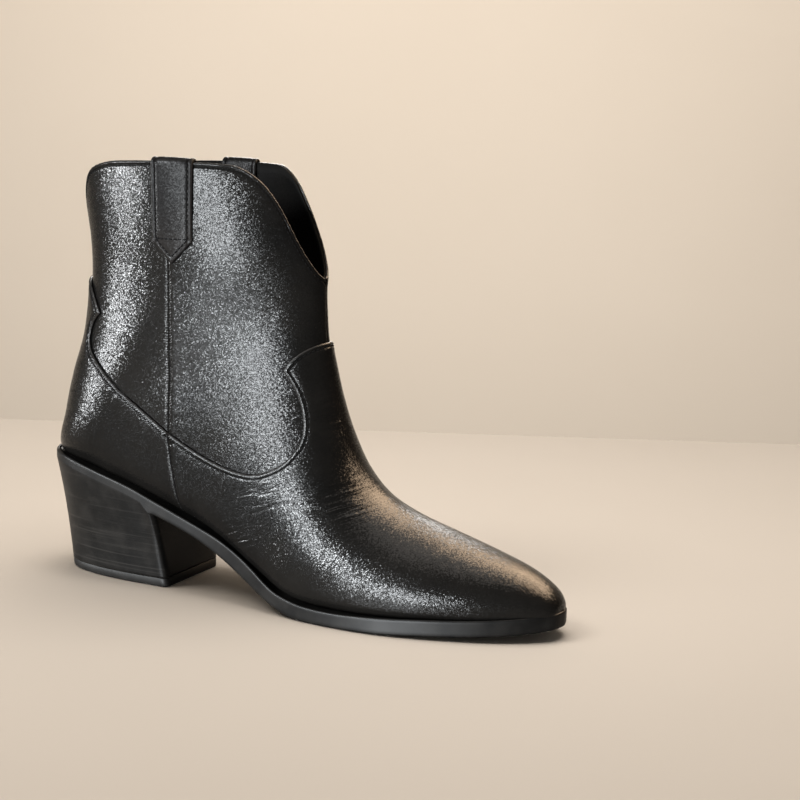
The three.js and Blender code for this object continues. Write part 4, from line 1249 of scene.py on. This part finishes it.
def cross_rails(inner):
    """Thin loops along the walls of each cross groove, out into the border groove."""
    loops = []
    for x0 in np.arange(GROOVE_FIRST, GROOVE_LAST + 1, GROOVE_PITCH):
        near = inner[np.abs(inner[:, 0] - x0) < 1.5]
        if len(near) < 2:
            continue
        low, high = near[:, 1].min() - GROOVE_WIDTH / 2, near[:, 1].max() + GROOVE_WIDTH / 2
        y = np.linspace(low, high, max(3, int((high - low) / 4)))
        for half in (GROOVE_WIDTH / 2, GROOVE_WIDTH / 2 - GROOVE_BEVEL):
            loops.append(np.vstack([np.column_stack([np.full(len(y), x0 - half), y]),
                                    np.column_stack([np.full(len(y), x0 + half), y[::-1]])]))
    return loops


def add_tread(soup, wall, heel_count, loop):
    edge = wall[0, heel_count - 1:, :2]
    edge = np.vstack([edge, wall[0, :1, :2]])
    outer = np.vstack([edge, np.linspace(edge[-1], edge[0], 16)[1:-1]])
    borders = [border_ring(loop, level)
               for level in (0.0, GROOVE_BEVEL, GROOVE_WIDTH - GROOVE_BEVEL, GROOVE_WIDTH)]
    rails = borders + cross_rails(borders[-1])
    x, y = np.meshgrid(np.arange(72, 274, 2.6), np.arange(-42, 42, 3.0), indexing="ij")
    free = np.stack([x.ravel(), y.ravel()], 1)
    free = free[inside_polygon(free, outer)]
    taken = tree_of(flat_points(np.vstack([outer, *rails])))
    free = free[distances(flat_points(free), taken) > 1.0]
    soup.sheet([outer, *rails], free, tread_height)


def heel_share(z):
    """How far the heel has widened from its base to its top, at a height."""
    t = np.clip(z / HEEL_HEIGHT, 0, None)
    return t * (1 - HEEL_FLARE + HEEL_FLARE * t)


def heel_base(count):
    """The heel's D outline on the floor, from one breast corner round the back to the other."""
    turn = np.linspace(-math.pi / 2, math.pi / 2, 240)
    share = np.abs(np.cos(turn)) ** (2 / HEEL_POWER)
    body = np.column_stack([
        HEEL_BASE_BREAST + (HEEL_BASE_BACK - HEEL_BASE_BREAST) * share,
        HEEL_BASE_HALF * np.sign(np.sin(turn)) * np.abs(np.sin(turn)) ** (2 / HEEL_POWER)])
    body = body[body[:, 0] < HEEL_BASE_BREAST - HEEL_CORNER]
    angles = np.linspace(0, math.pi / 2, 7)
    x = HEEL_BASE_BREAST - HEEL_CORNER * (1 - np.cos(angles))
    y = HEEL_BASE_HALF - HEEL_CORNER * (1 - np.sin(angles))
    outline = np.vstack([np.column_stack([x, -y]), body, np.column_stack([x, y])[::-1]])
    return evenly(outline, lengths_along(outline), count)


class HeelForm:
    """The heel block between its base on the floor and the sole's underside."""

    def __init__(self, top):
        self.top = top
        self.top_z = wall_bottom(top[:, 0])
        self.base = heel_base(len(top))

    def ring(self, z):
        """Plan points at a height, one for the whole ring or one for each point."""
        z = np.broadcast_to(z, self.top_z.shape)
        share = (heel_share(z) / heel_share(self.top_z))[:, None]
        return np.column_stack([self.base + (self.top - self.base) * share, z])

    def between(self, share):
        return self.ring(HEEL_BOTTOM + (self.top_z - HEEL_BOTTOM) * share)


def add_heel(soup, form):
    rows = np.array([form.between(t) for t in np.linspace(1, 0, 34)])
    soup.grid(rows)
    across = np.linspace(0, 1, 13)[None, :, None]
    breast = rows[:, -1:, :] * (1 - across) + rows[:, :1, :] * across
    dish = 4 * across[..., 0] * (1 - across[..., 0])
    breast[:, :, 0] -= BREAST_DISH * dish * np.sin(np.linspace(0, math.pi, len(rows)))[:, None]
    soup.grid(breast)
    bottom = np.vstack([rows[-1, :, :2], breast[-1, 1:-1, :2]])
    soup.sheet([bottom], np.zeros((0, 2)), lambda plan: np.full(len(plan), HEEL_BOTTOM))


def build_sole():
    rear, front = sole_outline()
    loop = np.vstack([rear[:-1], front[:-1]])
    wall = rubber_wall(loop, len(rear))
    soup = Soup()
    soup.grid(wall, closed=True)
    soup.sheet([wall[-1, :, :2]], np.zeros((0, 2)), lambda plan: rim_z(plan[:, 0]) - SOLE_SINK)
    add_tread(soup, wall, len(rear), loop)
    form = HeelForm(rear)
    add_heel(soup, form)
    points = np.vstack(soup.points)
    stacked = np.clip((rim_z(points[:, 0]) - 4.0 - points[:, 2]) / 6.0, 0, 1)
    stacked *= points[:, 0] < HEEL_BASE_BREAST - 1.5
    make_piece("sole_unit", "unit_sole", wall_rubber, points, soup.faces, {"stack": stacked})
    build_lift(form)


PIN_HOLE = 2.6
PIN_DEPTH = 1.5


def pin_centres():
    centres = []
    for name in sorted(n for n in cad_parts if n.startswith("top_lift_pin")):
        low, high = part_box(name)
        centre = ((np.array(low) + np.array(high)) / 2 - ORIGIN) / SCALE
        centres.append(centre[:2])
    return np.array(centres)


def lift_ring(form, z, inset):
    ring = form.ring(z)
    across = np.linspace(ring[-1], ring[0], 13)[1:-1]
    ring = np.vstack([ring, across])
    ring[:, :2] -= outward(ring[:, :2]) * inset
    return ring


def build_lift(form):
    """The top lift, with its edges eased and the pins' heads sunk in its walking face."""
    soup = Soup()
    top = TOP_LIFT_THICK
    rings = ((0.0, LIFT_BEVEL), (0.2, 0.2), (LIFT_BEVEL, 0.0), (top, 0.0), (top + 0.12, 0.14))
    rows = np.array([lift_ring(form, z, inset) for z, inset in rings])
    soup.grid(rows, closed=True)
    centres = pin_centres()
    turn = np.linspace(0, 2 * math.pi, 24, endpoint=False)
    circle = np.stack([np.cos(turn), np.sin(turn)], 1)
    holes = [c + circle * r for c in centres for r in (PIN_HOLE, PIN_HOLE - GROOVE_BEVEL)]

    def walking_face(plan):
        reach = np.linalg.norm(plan[:, None, :] - centres[None], axis=2).min(axis=1)
        return np.where(reach < PIN_HOLE - GROOVE_BEVEL / 2, PIN_DEPTH, 0.0)

    none = np.zeros((0, 2))
    soup.sheet([rows[0, :, :2], *holes], none, walking_face)
    soup.sheet([rows[-1, :, :2]], none, lambda plan: np.full(len(plan), top))
    make_piece("top_lift_rubber", "top_lift", lift_rubber, np.vstack(soup.points), soup.faces)


# ---------------------------------------------------------------- stage
CAMERA_TARGET = Vector((0.0428, 0.0182, 0.0983))
CAMERA_DISTANCE = 0.768
CAMERA_TURN, CAMERA_RISE, CAMERA_ROLL = (math.radians(a) for a in (24.5, 9.3, 1.85))
CAMERA_LENS = 72.0
FLOOR_Z = -0.0002  # just below the boot, so that no two faces share a plane
TABLE_END = 0.45
WALL_AWAY = 1.5
AHEAD = Vector((-math.sin(CAMERA_TURN), math.cos(CAMERA_TURN), 0))
LEVEL = Vector((math.cos(CAMERA_TURN), math.sin(CAMERA_TURN), 0))
UP = Vector((0, 0, 1))
SHEETS = (  # name, tint, shade, near edge and far edge as (away, height)
    ("floor", (0.65, 0.59, 0.525), (0.6, 0.545, 0.48), (-3.0, FLOOR_Z), (TABLE_END, FLOOR_Z)),
    ("wall", (0.82, 0.74, 0.64), (0.78, 0.7, 0.6), (WALL_AWAY, -1.5), (WALL_AWAY, 3.0)))


def add_camera():
    """The photo's view: level and ahead are turned by its rise, then by its roll."""
    camera = bpy.data.objects.new("camera", bpy.data.cameras.new("camera"))
    camera.data.lens = CAMERA_LENS
    look = AHEAD * math.cos(CAMERA_RISE) - UP * math.sin(CAMERA_RISE)
    lift = AHEAD * math.sin(CAMERA_RISE) + UP * math.cos(CAMERA_RISE)
    right = LEVEL * math.cos(CAMERA_ROLL) + lift * math.sin(CAMERA_ROLL)
    top = lift * math.cos(CAMERA_ROLL) - LEVEL * math.sin(CAMERA_ROLL)
    turn = Matrix((right, top, -look)).transposed().to_4x4()
    camera.matrix_world = Matrix.Translation(CAMERA_TARGET - look * CAMERA_DISTANCE) @ turn
    bpy.context.scene.collection.objects.link(camera)
    bpy.context.scene.camera = camera


def plaster(name, tint, shade):
    n = Nodes(name)
    n.set(Base_Color=n.mix(n.noise(3, 3), tint, shade), Roughness=0.85,
          Normal=n.bump(n.noise(260, 4), 0.0002, 0.3))
    return n.material


backdrop = bpy.data.collections.new("backdrop")


def add_stage():
    """A pale table that ends behind the boot, with a warm wall standing well away from it."""
    for name, tint, shade, low, high in SHEETS:
        points = [AHEAD * away + LEVEL * side + UP * z
                  for (away, z), side in ((low, -4), (low, 4), (high, 4), (high, -4))]
        mesh = bpy.data.meshes.new(name)
        mesh.from_pydata([tuple(p) for p in points], [], [(0, 1, 2, 3)])
        mesh.materials.append(plaster(name, tint, shade))
        piece = bpy.data.objects.new(name, mesh)
        bpy.context.scene.collection.objects.link(piece)
        if name == "wall":
            backdrop.objects.link(piece)


def add_light(name, azimuth, elevation, distance, size, watts, color, aim, only):
    """A soft square light; its angles are seen from its aim, azimuth from the camera's side."""
    turn, rise = CAMERA_TURN + math.radians(azimuth), math.radians(elevation)
    away = Vector((math.sin(turn) * math.cos(rise), -math.cos(turn) * math.cos(rise),
                   math.sin(rise))) * distance
    data = bpy.data.lights.new(name, "AREA")
    data.shape = "RECTANGLE"
    data.energy, data.color = watts, color
    data.size, data.size_y = size
    lamp = bpy.data.objects.new(name, data)
    lamp.location = aim + away
    lamp.rotation_euler = (-away).to_track_quat("-Z", "Y").to_euler()
    lamp.visible_camera = False
    if only:
        lamp.light_linking.receiver_collection = only
        lamp.light_linking.blocker_collection = only
    bpy.context.scene.collection.objects.link(lamp)


# name, azimuth, elevation, distance, size, watts, colour, aim past the boot, what it lights
LIGHTS = (
    ("window", -28, -6, 1.5, (0.45, 0.9), 190, (0.93, 0.97, 1.0), 0, boot_pieces),
    ("window_top", -54, 24, 1.5, (0.35, 0.3), 110, (0.93, 0.97, 1.0), 0, boot_pieces),
    ("back_left", -86, 4, 1.3, (0.25, 0.2), 32, (0.96, 0.98, 1.0), 0, boot_pieces),
    ("warm_right", 125, 50, 1.3, (1.1, 0.9), 84, (1.0, 0.72, 0.48), 0, boot_pieces),
    ("left", -75, 50, 1.5, (0.5, 0.5), 7.6, (1.0, 0.94, 0.87), 0, None),
    ("above", 150, 68, 1.4, (0.8, 0.8), 3.7, (1.0, 0.9, 0.78), 0, None),
    ("table_wash", 0, 60, 0.8, (0.6, 0.6), 5.5, (1.0, 0.94, 0.88), TABLE_END, None),
    ("wall_wash", 0, 20, 1.5, (1.5, 1.5), 17.5, (1.0, 0.93, 0.86), WALL_AWAY, backdrop),
    ("behind", 180, 30, 1.4, (0.6, 0.8), 24, (1.0, 0.97, 0.93), 0, boot_pieces))
WORLD_COLOR, WORLD_STRENGTH = (0.95, 0.9, 0.84, 1), 0.16


def add_lights():
    for name, azimuth, elevation, distance, size, watts, color, past, only in LIGHTS:
        add_light(name, azimuth, elevation, distance, size, watts, color,
                  CAMERA_TARGET + AHEAD * past, only)
    world = bpy.data.worlds.new("studio")
    world.use_nodes = True
    background = world.node_tree.nodes["Background"].inputs
    background["Color"].default_value = WORLD_COLOR
    background["Strength"].default_value = WORLD_STRENGTH
    bpy.context.scene.world = world
    bpy.context.scene.view_settings.view_transform = "Standard"


# ---------------------------------------------------------------- assembly
dress_carried_over()
build_vamp()
build_counter()
build_shaft()
build_linings()
build_sock()
build_straps()
build_stitching()
build_sole()
add_camera()
add_stage()
add_lights()
